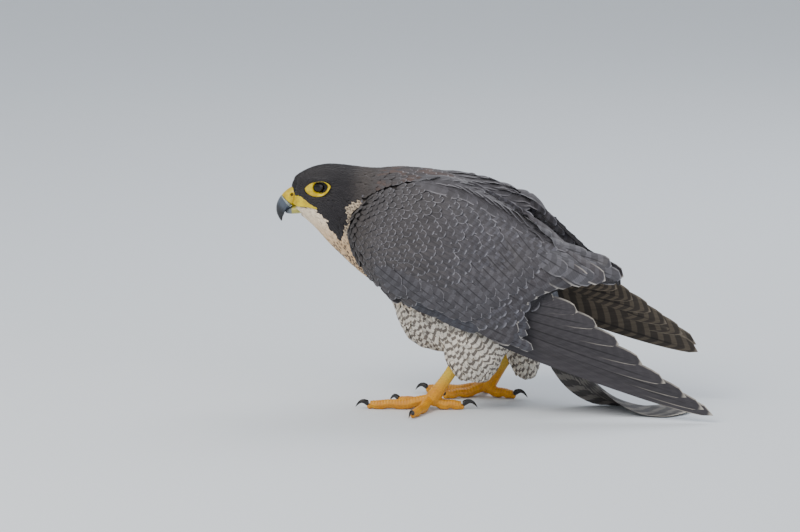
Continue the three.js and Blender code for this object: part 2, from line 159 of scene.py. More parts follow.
# Names and settings that many nodes share
MATH, RAMP, BLEND, NOISE = "ShaderNodeMath", "ShaderNodeMapRange", "ShaderNodeMix", "ShaderNodeTexNoise"
VALUES, PLACES, SHADER = "ShaderNodeAttribute", "ShaderNodeTexCoord", "ShaderNodeBsdfPrincipled"
BUMP, SPLIT, JOIN, RESULT = ("ShaderNodeBump", "ShaderNodeSeparateXYZ", "ShaderNodeCombineXYZ",
                             "ShaderNodeOutputMaterial")
ADD, SUBTRACT, MULTIPLY, DIVIDE, POWER, SINE, ABSOLUTE, GREATER, LESSER = (
    {"operation": name} for name in ("ADD", "SUBTRACT", "MULTIPLY", "DIVIDE", "POWER", "SINE",
                                     "ABSOLUTE", "MAXIMUM", "MINIMUM"))
SMOOTH = {"interpolation_type": "SMOOTHSTEP"}
MIX = {"data_type": "RGBA"}
TINT = {"data_type": "RGBA", "blend_type": "MULTIPLY"}
CELL_EDGES = {"feature": "DISTANCE_TO_EDGE"}

# How many of each pattern's marks fit in a millimetre
SKIN_BLOTCHES, TOE_BLOTCHES, TOE_CELLS = 0.18, 0.15, 0.85
HORN_GRAINS, CLAW_GRAINS, DOWN_CLUMPS = 0.9, 0.7, 1.4


def blank_material(name):
    """An empty material, and the function that adds a node to it."""
    material = bpy.data.materials.new(name)
    material.use_nodes = True
    material.node_tree.nodes.clear()
    return material, partial(node, material.node_tree)


# Stage: the sweep's sizes in metres

SWEEP_NEAR, SWEEP_FAR = 9.0, 7.0        # how far its flat floor runs before and behind the bird
SWEEP_HALF, SWEEP_RADIUS, SWEEP_HEIGHT = 12.0, 2.5, 7.0
SWEEP_STEPS = 12
LIT_HEIGHT = 110            # the lights turn to this height of the bird, mm


def make_stage():
    """A pale sweep: floor, curve and back wall in one sheet."""
    profile = [(-SWEEP_NEAR, 0.0)]
    for i in range(SWEEP_STEPS + 1):
        a = math.radians(90 * i / SWEEP_STEPS)
        profile.append((SWEEP_FAR + SWEEP_RADIUS * math.sin(a), SWEEP_RADIUS * (1 - math.cos(a))))
    profile.append((SWEEP_FAR + SWEEP_RADIUS, SWEEP_HEIGHT))
    back = Vector((CAMERA_AHEAD.x, CAMERA_AHEAD.y, 0)).normalized()
    points = [(back * d + CAMERA_RIGHT * s * SWEEP_HALF + UP * z)[:] for d, z in profile for s in (-1, 1)]
    faces = [(2 * i, 2 * i + 1, 2 * i + 3, 2 * i + 2) for i in range(len(profile) - 1)]
    mesh = bpy.data.meshes.new("sweep")
    mesh.from_pydata(points, [], faces)
    sweep = object_from("sweep", mesh)
    material, add = blank_material("matt_paper_sweep")
    add(RESULT, None, add(SHADER, Base_Color=rgba("#dbe1e6"), Roughness=0.9))
    mesh.materials.append(material)


def area_light(name, offset, size, power, colour):
    """A round soft light, placed off the bird's middle and turned to it."""
    data = bpy.data.lights.new(name, "AREA")
    data.shape = "DISK"
    data.size = size
    data.energy = power
    data.color = srgb(colour)
    light = object_from(name, data)
    aim = at(0, 0, LIT_HEIGHT)
    light.location = aim + Vector(offset)
    light.rotation_euler = (aim - light.location).to_track_quat("-Z", "Y").to_euler()


def make_lights():
    area_light("key", (-0.9, -1.3, 1.6), 1.3, 34, "#fff8ee")
    area_light("fill", (1.5, -1.4, 0.7), 1.8, 10, "#f3f4ff")
    area_light("back", (0.5, 1.4, 1.5), 1.4, 16, "#f8f9ff")
    world = bpy.data.worlds.new("soft_daylight")
    world.use_nodes = True
    background = world.node_tree.nodes["Background"]
    background.inputs["Color"].default_value = rgba("#e6e9ee")
    background.inputs["Strength"].default_value = 0.95
    bpy.context.scene.world = world


# Forms

FLESH = ["head", "neck", "trunk", *THIGHS, *WINGS]
FORM_VOXEL = 1.6 * MM
FORM_GROW = 0.35 * MM       # closes the thin cuts between the solids


def applied(made):
    """The object's mesh with its modifiers applied."""
    graph = bpy.context.evaluated_depsgraph_get()
    mesh = bpy.data.meshes.new_from_object(made.evaluated_get(graph))
    name = made.name
    bpy.data.objects.remove(made)
    mesh.name = name
    return mesh


def solid_copy(nodes, grow):
    """One mesh of the named solids' merged copies, each grown along its normals."""
    whole = bmesh.new()
    for name in nodes:
        part = bmesh.new()
        part.from_mesh(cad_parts[name].data)
        bmesh.ops.remove_doubles(part, verts=part.verts, dist=0.02 * MM)
        part.normal_update()
        for vertex in part.verts:
            vertex.co += vertex.normal * grow
        mesh = bpy.data.meshes.new("part")
        part.to_mesh(mesh)
        part.free()
        whole.from_mesh(mesh)
        bpy.data.meshes.remove(mesh)
    mesh = bpy.data.meshes.new("solid")
    whole.to_mesh(mesh)
    whole.free()
    return mesh


def remeshed(name, nodes, voxel, grow, rounds, knobs=()):
    """The solids as one smooth skin of small faces; knobs are balls to join on, (place, radius)."""
    mesh = solid_copy(nodes, grow)
    if knobs:
        whole = bmesh.new()
        whole.from_mesh(mesh)
        for place, radius in knobs:
            bmesh.ops.create_icosphere(whole, subdivisions=3, radius=radius,
                                       matrix=Matrix.Translation(place))
        whole.to_mesh(mesh)
        whole.free()
    made = object_from(name, mesh)
    remesh = made.modifiers.new("voxels", "REMESH")
    remesh.mode = "VOXEL"
    remesh.voxel_size = voxel
    smooth = made.modifiers.new("smooth", "SMOOTH")
    smooth.factor = 0.5
    smooth.iterations = rounds
    return applied(made)


def read(values, kind, width, name):
    """One array from a mesh's rows, such as the places of its vertices."""
    data = np.empty(len(values) * width, dtype=kind)
    values.foreach_get(name, data)
    return data.reshape(-1, width)


def arrays(mesh):
    """Vertices, normals, triangles, and each triangle's loops."""
    mesh.calc_loop_triangles()
    return (read(mesh.vertices, float, 3, "co"), read(mesh.vertices, float, 3, "normal"),
            read(mesh.loop_triangles, np.int64, 3, "vertices"),
            read(mesh.loop_triangles, np.int64, 3, "loops"))


def tree_of(points, triangles):
    return BVHTree.FromPolygons([tuple(p) for p in points], [tuple(t) for t in triangles])


def face_out(mesh):
    """Turns a closed mesh's faces outwards."""
    made = bmesh.new()
    made.from_mesh(mesh)
    bmesh.ops.recalc_face_normals(made, faces=made.faces)
    made.to_mesh(mesh)
    made.free()


def ring_faces(rings, size, start=0, capped=True):
    """Faces through rings of points: capped at both ends, or the last ring joined to the first."""
    faces = []
    for i in range(rings - capped):
        near, far = start + i * size, start + (i + 1) % rings * size
        for k in range(size):
            beside = (k + 1) % size
            faces.append((near + k, near + beside, far + beside, far + k))
    if capped:
        last = start + (rings - 1) * size
        faces.append(tuple(range(start + size - 1, start - 1, -1)))
        faces.append(tuple(range(last, last + size)))
    return faces


def in_part(points):
    """Frame positions as the model's own millimetres."""
    return (np.asarray(points) - np.array(SHIFT)) / MM


def in_head(points):
    """Frame positions as millimetres forward, up and across from the head's origin."""
    offset = (np.asarray(points) - np.array(HEAD)) / MM
    return offset @ np.array(FORWARD), offset @ np.array(UP), offset @ np.array(ACROSS)


def smooth(value, low, high):
    """0 to 1 as the value goes from low to high; the other way round where low is above high."""
    t = np.clip((np.asarray(value, dtype=float) - low) / (high - low), 0, 1)
    return t * t * (3 - 2 * t)


def unit(vectors):
    return vectors / np.maximum(np.linalg.norm(vectors, axis=-1, keepdims=True), 1e-12)


def blend(a, b, share):
    """Rows of a, moved towards b by each row's share."""
    return a + (b - a) * np.asarray(share)[..., None]


# Plumage: what a feather wears, from where its root is

HOOD, NAPE, MANTLE, SLATE = srgb("#222023"), srgb("#423d3b"), srgb("#434042"), srgb("#434145")
RUMP, FRINGE, GREY_BAR = srgb("#5f636a"), srgb("#97969c"), srgb("#6e6e78")
CREAM, BUFF, ASH = srgb("#e9d8be"), srgb("#d4ae80"), srgb("#d6cfc2")
INK, BROWN, PALE_EAR = srgb("#453a34"), srgb("#5c453b"), srgb("#bfae96")
HOOD_EDGE = srgb("#5d5652")

# Head markings on its side, millimetres forward for each height above the eyes
STRIPE_FRONT = ([-43, -33, -24, -20, -17, -14, -12], [-11.5, -6, -0.8, 3, 9, 14, 30])
STRIPE_REAR = ([-45, -34.5, -23.2, -14.5, -10.2, -3], [-14, -16.5, -19.8, -18, -23, -36])
EAR_REAR = ([-45, -25, -10, -2], [-75, -50, -38, -32])
STRIPE_TIP, EAR_TIP, NECK_TIP = -41, -36, -30
CROWN_LOW = -3              # the hood covers the head above this
HEAD_BACK, NECK_DARK = -45, -30
RAGGED, BACK_RAGGED = 0.6, 2.0          # how far a marking's edge strays, mm
NAPE_FADE = (-18, -34)      # the hood's black fades to the nape's brown as the head ends
# Where colours change on the body, from first sign to full strength: those named FROM lie along it,
# rust has its two ends there, and the rest are heights
BUFF_BELOW, BUFF_ABOVE, BELLY = (172, 140), (92, 112), (120, 85)
MANTLE_FROM, SLATE_FROM, RUMP_FROM, RUST = (-112, -92), (-80, 0), (20, 60), (-100, -40)
FRINGE_FROM, DARK_BARS_FROM, PALE_BARS_BELOW = (-112, -80), (-60, 30), (112, 88)
SPOTS_BELOW_EYE, SPOTS_ABOVE = (-34, -50), (84, 100)
# Where the dark back meets the pale underparts: height along the body
BACK_EDGE = ([-170, -117, -60, 0, 40, 60], [186, 182, 165, 140, 105, 74])


def wear_of(points, regions):
    """Colours and marks at each root: tone, edge and ink colours, and how strong each mark is."""
    count = len(points)
    jitter = rng.normal(0, 1, (count, 3))
    x, _, z = in_part(points).T
    f, u, _ = in_head(points)
    f, u = f + RAGGED * jitter[:, 0], u + RAGGED * jitter[:, 1]
    on_face = np.isin(regions, ["head", "neck"])
    wing = np.isin(regions, WINGS)
    thigh = np.isin(regions, THIGHS)

    divide = np.interp(x, *BACK_EDGE)
    front = np.interp(u, *STRIPE_FRONT)
    rear = np.interp(u, *STRIPE_REAR)
    near_head = on_face & (f > HEAD_BACK)
    stripe = near_head & (f < front) & (f > rear) & (u > STRIPE_TIP)
    crown = near_head & (u > CROWN_LOW) & (f < front)
    behind_ear = on_face & (f < np.interp(u, *EAR_REAR)) & (z > divide - 8)
    hood = stripe | crown | (behind_ear & (u > NECK_TIP))
    ear = near_head & ~hood & (f < rear) & (u > EAR_TIP)
    dark_back = ~on_face & ~thigh & (z > divide + BACK_RAGGED * jitter[:, 2])
    dark = hood | dark_back | wing | (on_face & (z > divide) & (f < NECK_DARK))

    pale = np.tile(CREAM, (count, 1))
    pale = blend(pale, BUFF, 0.85 * smooth(z, *BUFF_BELOW) * smooth(z, *BUFF_ABOVE))
    pale = blend(pale, ASH, smooth(z, *BELLY))
    pale[ear] = PALE_EAR
    slate = blend(np.tile(HOOD, (count, 1)), NAPE, 0.9 * smooth(f, *NAPE_FADE))
    slate = blend(slate, MANTLE, smooth(x, *MANTLE_FROM))
    slate = blend(slate, SLATE, smooth(x, *SLATE_FROM))
    slate = blend(slate, RUMP, smooth(x, *RUMP_FROM) * ~wing)
    rust = dark & ~wing & (x > RUST[0]) & (x < RUST[1])
    slate = blend(slate, BROWN, 0.45 * rust * smooth(jitter[:, 1], -0.6, 1.4))
    tone = np.where(dark[:, None], slate, pale) * (1 + 0.07 * jitter[:, :1])

    edge = np.where(dark[:, None], FRINGE, CREAM)
    edge = np.where((hood & ~wing)[:, None], HOOD_EDGE, edge)
    ink = np.where(dark[:, None], GREY_BAR, INK)
    fringe = np.where(dark, 0.2 + 0.38 * smooth(x, *FRINGE_FROM) + 0.1 * jitter[:, 1], 0.3)
    fringe = np.where(hood & (f > -25), 0.25, fringe)
    bars = np.where(dark, 0.3 * smooth(x, *DARK_BARS_FROM), 0.85 * smooth(z, *PALE_BARS_BELOW))
    bars = np.where(thigh, 0.85, bars)
    spotted = smooth(u, *SPOTS_BELOW_EYE) * smooth(z, *SPOTS_ABOVE) * (jitter[:, 2] > -0.45)
    spot = np.where(~dark & ~thigh, spotted, 0)
    spot = np.where(ear, 0.7, spot)
    bands = np.where(dark, 3.2, 3.4) + 0.2 * jitter[:, 0]
    chance = rng.random(count)
    mark = np.column_stack([np.clip(fringe, 0, 1), bars, spot])
    return {"tone": np.clip(tone, 0, 1), "edge": edge, "ink": ink, "mark": mark, "bands": bands,
            "chance": chance}


COLOURS = ("tone", "edge", "ink")


def write_values(mesh, values):
    """Stores one value of each kind for every vertex."""
    for name, data in values.items():
        data = np.asarray(data, dtype=np.float32)
        if name in COLOURS:
            layer = mesh.attributes.new(name, "FLOAT_COLOR", "POINT")
            data = np.column_stack([data, np.ones(len(data))])
            layer.data.foreach_set("color", data.astype(np.float32).ravel())
        elif data.ndim == 2:
            layer = mesh.attributes.new(name, "FLOAT_VECTOR", "POINT")
            layer.data.foreach_set("vector", np.ascontiguousarray(data).ravel())
        else:
            mesh.attributes.new(name, "FLOAT", "POINT").data.foreach_set("value", data)


# The lie of the coat: at each place its direction, and the feathers' length and width

def body_anchor(x, y, z, direction, length, width):
    return np.array(at(x, y, z)), np.array(direction), length, width


def head_anchor(f, u, a, direction, length, width):
    turned = FORWARD * direction[0] + UP * direction[1] + ACROSS * direction[2]
    return np.array(on_head(f, u, a)), np.array(turned), length, width


def lie_anchors():
    anchors = [
        head_anchor(25, 7, 0, (-0.9, 0.45, 0), 3.4, 2.0),
        head_anchor(14, 12.5, 0, (-1, 0.25, 0), 4.6, 2.6),
        head_anchor(0, 17, 0, (-1, 0, 0), 6, 3.2),
        head_anchor(-18, 17, 0, (-1, -0.1, 0), 7.5, 3.8),
        head_anchor(19, -23, 0, (-0.85, -0.5, 0), 4, 2.4),
        head_anchor(9, -31, 0, (-0.55, -0.85, 0), 6, 3.2),
        head_anchor(-2, -44, 0, (-0.4, -0.92, 0), 8, 4.2),
        body_anchor(-120, 0, 203, (1, 0, -0.02), 10, 5),
        body_anchor(-84, 0, 204, (1, 0, -0.02), 17, 9),
        body_anchor(-50, 0, 202, (1, 0, -0.12), 21, 12),
        body_anchor(-5, 0, 187, (0.9, 0, -0.45), 24, 13),
        body_anchor(31, 0, 153, (0.7, 0, -0.72), 26, 13),
        body_anchor(52, -5, 112, (0.3, 0, -0.95), 26, 12),
        body_anchor(61, -6, 82, (0.35, 0, -0.94), 30, 12),
        body_anchor(-128, -3, 128, (0.3, 0, -0.95), 10, 5.6),
        body_anchor(-108, -3, 110, (0.5, 0, -0.87), 13, 7.5),
        body_anchor(-92, -2, 100, (0.55, 0, -0.83), 15, 9),
        body_anchor(-78, 0, 80, (0.6, 0, -0.8), 22, 9),
        body_anchor(-68, 0, 58, (0.85, 0, -0.5), 26, 9.5),
        body_anchor(-40, 0, 47, (1, 0, 0), 28, 10),
        body_anchor(-10, 0, 48, (1, 0, 0.05), 28, 10),
        body_anchor(22, -4, 60, (0.75, 0, -0.6), 28, 10),
        body_anchor(40, -7, 66, (0.5, 0, -0.86), 30, 13),
    ]
    for side in SIDES.values():
        anchors += [
            head_anchor(19, 2, side * 9.5, (-0.9, 0.35, side * 0.3), 3, 1.7),
            head_anchor(17, -10, side * 10.5, (-0.9, -0.25, side * 0.35), 2.8, 1.7),
            head_anchor(8, 8, side * 15, (-0.95, 0.2, 0), 3.6, 2.1),
            head_anchor(4, -12, side * 15, (-0.85, -0.5, 0), 4, 2.4),
            head_anchor(-9, 9, side * 18, (-1, 0, 0), 5, 2.8),
            head_anchor(-13, -6, side * 19, (-0.92, -0.4, 0), 5, 2.8),
            head_anchor(-8, -22, side * 18, (-0.6, -0.8, 0), 6.5, 3.4),
            head_anchor(-12, -40, side * 20, (-0.5, -0.87, 0), 8, 4.2),
            head_anchor(-30, -10, side * 22, (-0.85, -0.5, 0), 7.5, 3.9),
            head_anchor(-32, -40, side * 27, (-0.6, -0.8, 0), 9, 5),
            body_anchor(-105, side * 34, 140, (0.6, 0, -0.8), 12, 6.5),
            body_anchor(-85, side * 44, 105, (0.6, 0, -0.8), 16, 9),
            body_anchor(-60, side * 48, 80, (0.75, 0, -0.66), 24, 9),
            body_anchor(-10, side * 48, 75, (0.85, 0, -0.5), 24, 13),
            body_anchor(20, side * 36, 80, (0.8, 0, -0.6), 26, 13),
            body_anchor(40, side * 24, 100, (0.5, 0, -0.86), 26, 12),
        ]
        anchors += thigh_anchors(side)
    return anchors


THIGH_LENGTHS = ((0.9, 26), (0.5, 25), (0.1, 17))      # at each share of the thigh's height
THIGH_WIDTH = 7.5


def thigh_anchors(side):
    low, high = corners(side_name(side) + "_thigh")
    centre = (low + high) / 2
    made = []
    for share, length in THIGH_LENGTHS:
        z = low.z + (high.z - low.z) * share
        for across in (-0.5, 0.5):
            for along in (-0.5, 0.5):
                place = (centre.x + along * (high.x - low.x), centre.y + across * (high.y - low.y), z)
                direction = (0.28 + 0.15 * along, 0, -1.0)
                made.append((np.array(Vector(place)), np.array(direction), length, THIGH_WIDTH))
    return made


# A wing's coverts grow with the distance from the wrist, along an axis that slopes down to the tail

WRIST = (-118, 162)
WING_AXIS = (math.cos(math.radians(22)), -math.sin(math.radians(22)))
COVERT_WIDTH = (4.6, 0.062)     # at the wrist, and for each millimetre behind it
COVERT_LENGTH = 1.75            # times the width
COVERT_SLOPE = 24               # degrees below level
COVERT_FALL, WRIST_FALL = 14, 34        # and how much more at the rear, and over the wrist


def wing_lie(points):
    x, _, z = in_part(points).T
    behind = (x - WRIST[0]) * WING_AXIS[0] + (z - WRIST[1]) * WING_AXIS[1]
    width = COVERT_WIDTH[0] + COVERT_WIDTH[1] * np.clip(behind, 0, 190)
    slope = np.radians(COVERT_SLOPE + COVERT_FALL * smooth(x, -60, 30)
                       + WRIST_FALL * smooth(x, -96, -116))
    direction = np.column_stack([np.cos(slope), np.zeros(len(x)), -np.sin(slope)])
    return direction, width * COVERT_LENGTH, width


def lie_at(points, regions):
    """Direction, length and width of the feathers rooted at these points."""
    anchors = lie_anchors()
    places = np.array([anchor[0] for anchor in anchors])
    directions = unit(np.array([anchor[1] for anchor in anchors]))
    sizes = np.array([anchor[2:] for anchor in anchors])
    gap = np.linalg.norm(points[:, None] - places[None], axis=2) / MM
    weight = 1 / (gap + 3) ** 3
    weight /= weight.sum(axis=1, keepdims=True)
    direction, size = weight @ directions, weight @ sizes
    length, width = size.T
    wing = np.isin(regions, WINGS)
    wing_direction, wing_length, wing_width = wing_lie(points)
    direction = np.where(wing[:, None], wing_direction, direction)
    return unit(direction), np.where(wing, wing_length, length), np.where(wing, wing_width, width)


# Templates: closed lens-shaped vanes, root at the origin, one unit long and wide

VANE_TIP = 0.02             # half-width where a vane ends
VANE_CROWN = 0.10           # its middle rises and its edges fall by this share of its half-width


def vane_template(name, sections, root_width, widest, camber, thick):
    points, faces, uv = [], [], []
    for t in sections:
        round_tip = math.sqrt(max(0.0, 1 - ((t - widest) / (1 - widest)) ** 2)) if t > widest else 1
        body = root_width + (1 - root_width) * math.sin(min(t / widest, 1) * math.pi / 2)
        half = max(0.5 * body * round_tip, VANE_TIP)
        arch = camber * (1 - (2 * t - 1) ** 2)
        depth = thick * (1 - 0.6 * t)
        crown = VANE_CROWN * half
        points += [(t, -half, arch - crown), (t, 0, arch + crown + depth / 2),
                   (t, half, arch - crown), (t, 0, arch + crown - depth / 2)]
        uv += [(0, t), (0.5, t), (1, t), (0.5, t)]
    for i in range(len(sections) - 1):
        for k in range(4):
            a, b = 4 * i + k, 4 * i + (k + 1) % 4
            faces.append((a, a + 4, b + 4, b))
    last = 4 * (len(sections) - 1)
    faces += [(0, 1, 2, 3), (last + 3, last + 2, last + 1, last)]
    return mesh_with_uv(name, points, faces, uv)


def loop_vertices(mesh):
    return read(mesh.loops, np.int64, 1, "vertex_index").ravel()


def mesh_with_uv(name, points, faces, uv):
    mesh = bpy.data.meshes.new(name)
    mesh.from_pydata([tuple(p) for p in points], [], [tuple(f) for f in faces])
    layer = mesh.uv_layers.new(name="vane")
    layer.data.foreach_set("uv", np.asarray(uv, dtype=np.float32)[loop_vertices(mesh)].ravel())
    return mesh


def vane_sections(widest, base, turns):
    """Lengths at which a vane has a section: a few up to its widest, then round the tip."""
    start = [widest * i / base for i in range(base)]
    return start + [widest + (1 - widest) * math.sin(math.radians(turn)) for turn in turns]


FACE_VANE = ("face_vane", vane_sections(0.5, 1, (0, 45, 90)), 0.4, 0.5, 0.05, 0.05)
BODY_VANE = ("body_vane", vane_sections(0.6, 2, (0, 35, 62, 80, 90)), 0.35, 0.6, 0.06, 0.025)
PLUME_VANE = ("plume_vane", vane_sections(0.5, 2, (0, 30, 52, 70, 90)), 0.4, 0.5, 0.07, 0.025)
COVERT_VANE = ("covert_vane", vane_sections(0.68, 2, (0, 28, 50, 68, 82, 90)), 0.45, 0.68, 0.05, 0.02)


FEATHER_INPUTS = (("Geometry", "Geometry"), ("Vane", "Object"), ("Ruffle", "Float"), ("Seed", "Int"),
                  ("Material", "Material"))


def feather_tree():
    """Instances the vane on the roots by their stored turn and size, and makes it plain mesh."""
    tree = bpy.data.node_groups.new("feathers_on_roots", "GeometryNodeTree")
    for name, kind in FEATHER_INPUTS:
        tree.interface.new_socket(name, in_out="INPUT", socket_type="NodeSocket" + kind)
    tree.interface.new_socket("Geometry", in_out="OUTPUT", socket_type="NodeSocketGeometry")
    add = partial(node, tree)
    given = add("NodeGroupInput").node.outputs
    shape = add("GeometryNodeObjectInfo", Object=given["Vane"], out="Geometry")
    vector = {"data_type": "FLOAT_VECTOR"}
    turn = add("GeometryNodeInputNamedAttribute", vector, "turn")
    size = add("GeometryNodeInputNamedAttribute", vector, "size")
    placed = add("GeometryNodeInstanceOnPoints", Points=given["Geometry"], Instance=shape,
                 Rotation=turn, Scale=size)
    back = add(MATH, MULTIPLY, given["Ruffle"], -1.0)
    low = add(JOIN, X=back, Z=back)
    high = add(JOIN, X=given["Ruffle"], Z=given["Ruffle"])
    chance = add("FunctionNodeRandomValue", vector, Min=low, Max=high, Seed=given["Seed"])
    ruffled = add("GeometryNodeRotateInstances", Instances=placed, Rotation=chance)
    plain = add("GeometryNodeRealizeInstances", Geometry=ruffled)
    dressed = add("GeometryNodeSetMaterial", Geometry=plain, Material=given["Material"])
    add("NodeGroupOutput", Geometry=dressed)
    return tree


def grown(name, roots, values, template, material, ruffle, seed):
    """Plain mesh of one vane on each root, with its bake map."""
    points_mesh = bpy.data.meshes.new(name + "_roots")
    points_mesh.from_pydata([tuple(p) for p in roots], [], [])
    write_values(points_mesh, values)
    holder = object_from(name, points_mesh)
    vane = object_from(name + "_vane", vane_template(*template))
    tree = feather_tree()
    modifier = holder.modifiers.new("feathers", "NODES")
    modifier.node_group = tree
    key = {item.name: item.identifier for item in tree.interface.items_tree if item.in_out == "INPUT"}
    modifier[key["Vane"]] = vane
    modifier[key["Ruffle"]] = math.radians(ruffle)
    modifier[key["Seed"]] = seed
    modifier[key["Material"]] = material
    mesh = applied(holder)
    bpy.data.objects.remove(vane)
    above_floor(mesh)
    bake_map(mesh)
    return mesh


FLOOR_GAP = 0.2 * MM        # no feather comes nearer the floor


def above_floor(mesh):
    points = read(mesh.vertices, float, 3, "co")
    points[:, 2] = np.maximum(points[:, 2], FLOOR_GAP)
    mesh.vertices.foreach_set("co", points.ravel())


def bake_map(mesh):
    """OFBake: each vane is a small patch at its root's place on the skin's own unwrap."""
    root_uv = read(mesh.attributes["root_uv"].data, np.float32, 3, "vector")
    vane_uv = read(mesh.uv_layers["vane"].data, np.float32, 2, "uv")
    placed = root_uv[loop_vertices(mesh), :2] + (vane_uv - 0.5) * TUFT_PATCH
    layer = mesh.uv_layers.new(name="OFBake")
    layer.data.foreach_set("uv", placed.astype(np.float32).ravel())
    for spent in ("turn", "size", "root_uv"):
        if spent in mesh.attributes:
            mesh.attributes.remove(mesh.attributes[spent])


# Feather material

FEATHER_VALUES = (("tone", "Color"), ("edge", "Color"), ("ink", "Color"), ("mark", "Vector"),
                  ("bands", "Fac"), ("chance", "Fac"))
DROP_WIDE, DROP_LONG, DROP_PLACE = 0.52, 0.17, 0.76     # shares of the half-width and the length
BARBS_ALONG, BARBS_SWEPT = 46.0, 9.0    # drawn coarser than real barbs, so that they show


def feather_material(name, shaft_dark, barb_depth, roughness, sheen, rim_start, tip_start, bow_share):
    """Vane: stored colours, with fringe, bars, drop, shaft and fine barbs drawn along it."""
    material, add = blank_material(name)
    stored = {key: add(VALUES, {"attribute_name": key}, out=out) for key, out in FEATHER_VALUES}
    fringe, bars, spot = add(SPLIT, None, stored["mark"]).node.outputs
    u, v, _ = add(SPLIT, None, add("ShaderNodeUVMap", {"uv_map": "vane"})).node.outputs
    centred = add(MATH, SUBTRACT, u, 0.5)
    across = add(MATH, MULTIPLY, add(MATH, ABSOLUTE, centred), 2.0)

    # Bars bow towards the root at the vane's edges, and each feather starts them elsewhere
    bow = add(MATH, MULTIPLY, add(MATH, POWER, across, 1.5), bow_share)
    turns = add(MATH, MULTIPLY, add(MATH, ADD, v, bow), stored["bands"])
    beat = add(MATH, MULTIPLY, turns, 2 * math.pi)
    wave = add(MATH, SINE, add(MATH, ADD, beat, add(MATH, MULTIPLY, stored["chance"], 1.6)))
    bar = add(MATH, MULTIPLY, add(RAMP, SMOOTH, wave, -0.05, 0.45), bars)
    colour = add(BLEND, MIX, bar, _6=stored["tone"], _7=stored["ink"], out=2)

    drop_u = add(MATH, POWER, add(MATH, DIVIDE, across, DROP_WIDE), 2.0)
    past_drop = add(MATH, DIVIDE, add(MATH, SUBTRACT, v, DROP_PLACE), DROP_LONG)
    drop_v = add(MATH, POWER, past_drop, 2.0)
    drop = add(RAMP, SMOOTH, add(MATH, ADD, drop_u, drop_v), 1.2, 0.7)
    colour = add(BLEND, MIX, add(MATH, MULTIPLY, drop, spot), _6=colour, _7=stored["ink"], out=2)

    tip = add(RAMP, SMOOTH, v, tip_start, (tip_start + 3) / 4)
    rim = add(MATH, GREATER, add(RAMP, SMOOTH, across, 0.80, 0.92), tip)
    rim = add(MATH, MULTIPLY, rim, add(RAMP, SMOOTH, v, rim_start, rim_start + 0.3))
    colour = add(BLEND, MIX, add(MATH, MULTIPLY, rim, fringe), _6=colour, _7=stored["edge"], out=2)

    shaft = add(MATH, MULTIPLY, add(RAMP, SMOOTH, across, 0.11, 0.03), add(RAMP, SMOOTH, v, 0.97, 0.8))
    shaft = add(MATH, MULTIPLY, shaft, shaft_dark)
    colour = add(BLEND, MIX, shaft, _6=colour, _7=rgba("#141316"), out=2)

    # Barbs sweep from the shaft towards the tip
    sweep = add(MATH, SUBTRACT, add(MATH, MULTIPLY, v, BARBS_ALONG),
                add(MATH, MULTIPLY, across, BARBS_SWEPT))
    barb_place = add(JOIN, None, sweep, add(MATH, MULTIPLY, centred, 3.0),
                     add(MATH, MULTIPLY, stored["chance"], 40.0))
    barbs = add(NOISE, Vector=barb_place, Scale=1.0, Detail=2.0)
    streak = add(RAMP, None, barbs, 0.3, 0.7, 0.80, 1.2)
    own = add(MATH, ADD, add(MATH, MULTIPLY, stored["chance"], 0.2), 0.90)
    lit = add(MATH, MULTIPLY, streak, own)
    colour = add(BLEND, TINT, 1.0, _6=colour, _7=add(JOIN, None, lit, lit, lit), out=2)
    bump = add(BUMP, Strength=0.35, Distance=barb_depth * MM, Height=barbs)
    add(RESULT, None, add(SHADER, Base_Color=colour, Roughness=roughness, Normal=bump, Sheen_Weight=sheen,
                          Sheen_Roughness=0.5, Specular_IOR_Level=0.3))
    return material


# Skin and coat form

COAT_DEPTH = {"head": 0.9, "neck": 2.0}     # how far the skin lies inside, mm, by node
ELSEWHERE = 3.0                             # and under the rest of the coat


def nearest_node(points):
    """The flesh node that each point lies nearest to."""
    trees = []
    for name in FLESH:
        made = bmesh.new()
        made.from_mesh(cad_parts[name].data)
        trees.append(BVHTree.FromBMesh(made))
        made.free()
    gaps = np.array([[tree.find_nearest(point)[3] for tree in trees] for point in points])
    return np.array(FLESH)[gaps.argmin(axis=1)]


class Form:
    """The coat's outer form, the skin inside it, and the skin's unwrap."""

    def __init__(self):
        self.mesh = remeshed("coat_form", FLESH, FORM_VOXEL, FORM_GROW, 3)
        self.points, self.normals, self.triangles, self.loops = arrays(self.mesh)
        self.tree = tree_of(self.points, self.triangles)
        self.regions = nearest_node(self.points)
        depth = np.array([COAT_DEPTH.get(name, ELSEWHERE) for name in self.regions]) * MM
        self.skin = self.mesh.copy()
        self.skin.name = "skin"
        inner = self.points - self.normals * depth[:, None]
        self.skin.vertices.foreach_set("co", inner.ravel())
        self.unwrap()
        self.uv = read(self.skin.uv_layers["OFBake"].data, np.float32, 2, "uv")

    def unwrap(self):
        self.skin.uv_layers.new(name="OFBake")
        holder = object_from("skin_unwrap", self.skin)
        bpy.context.view_layer.objects.active = holder
        holder.select_set(True)
        bpy.ops.object.mode_set(mode="EDIT")
        bpy.ops.mesh.select_all(action="SELECT")
        bpy.ops.uv.smart_project(angle_limit=math.radians(66), island_margin=0.003)
        bpy.ops.object.mode_set(mode="OBJECT")
        bpy.data.objects.remove(holder)

    def nearest(self, point):
        place, normal, index, _ = self.tree.find_nearest(point)
        return place, normal, index

    def root_uv(self, point):
        """The unwrap's place of the skin under a point."""
        place, _, index = self.nearest(point)
        corner = self.points[self.triangles[index]]
        weights = barycentric(np.array(place), corner)
        return weights @ self.uv[self.loops[index]]


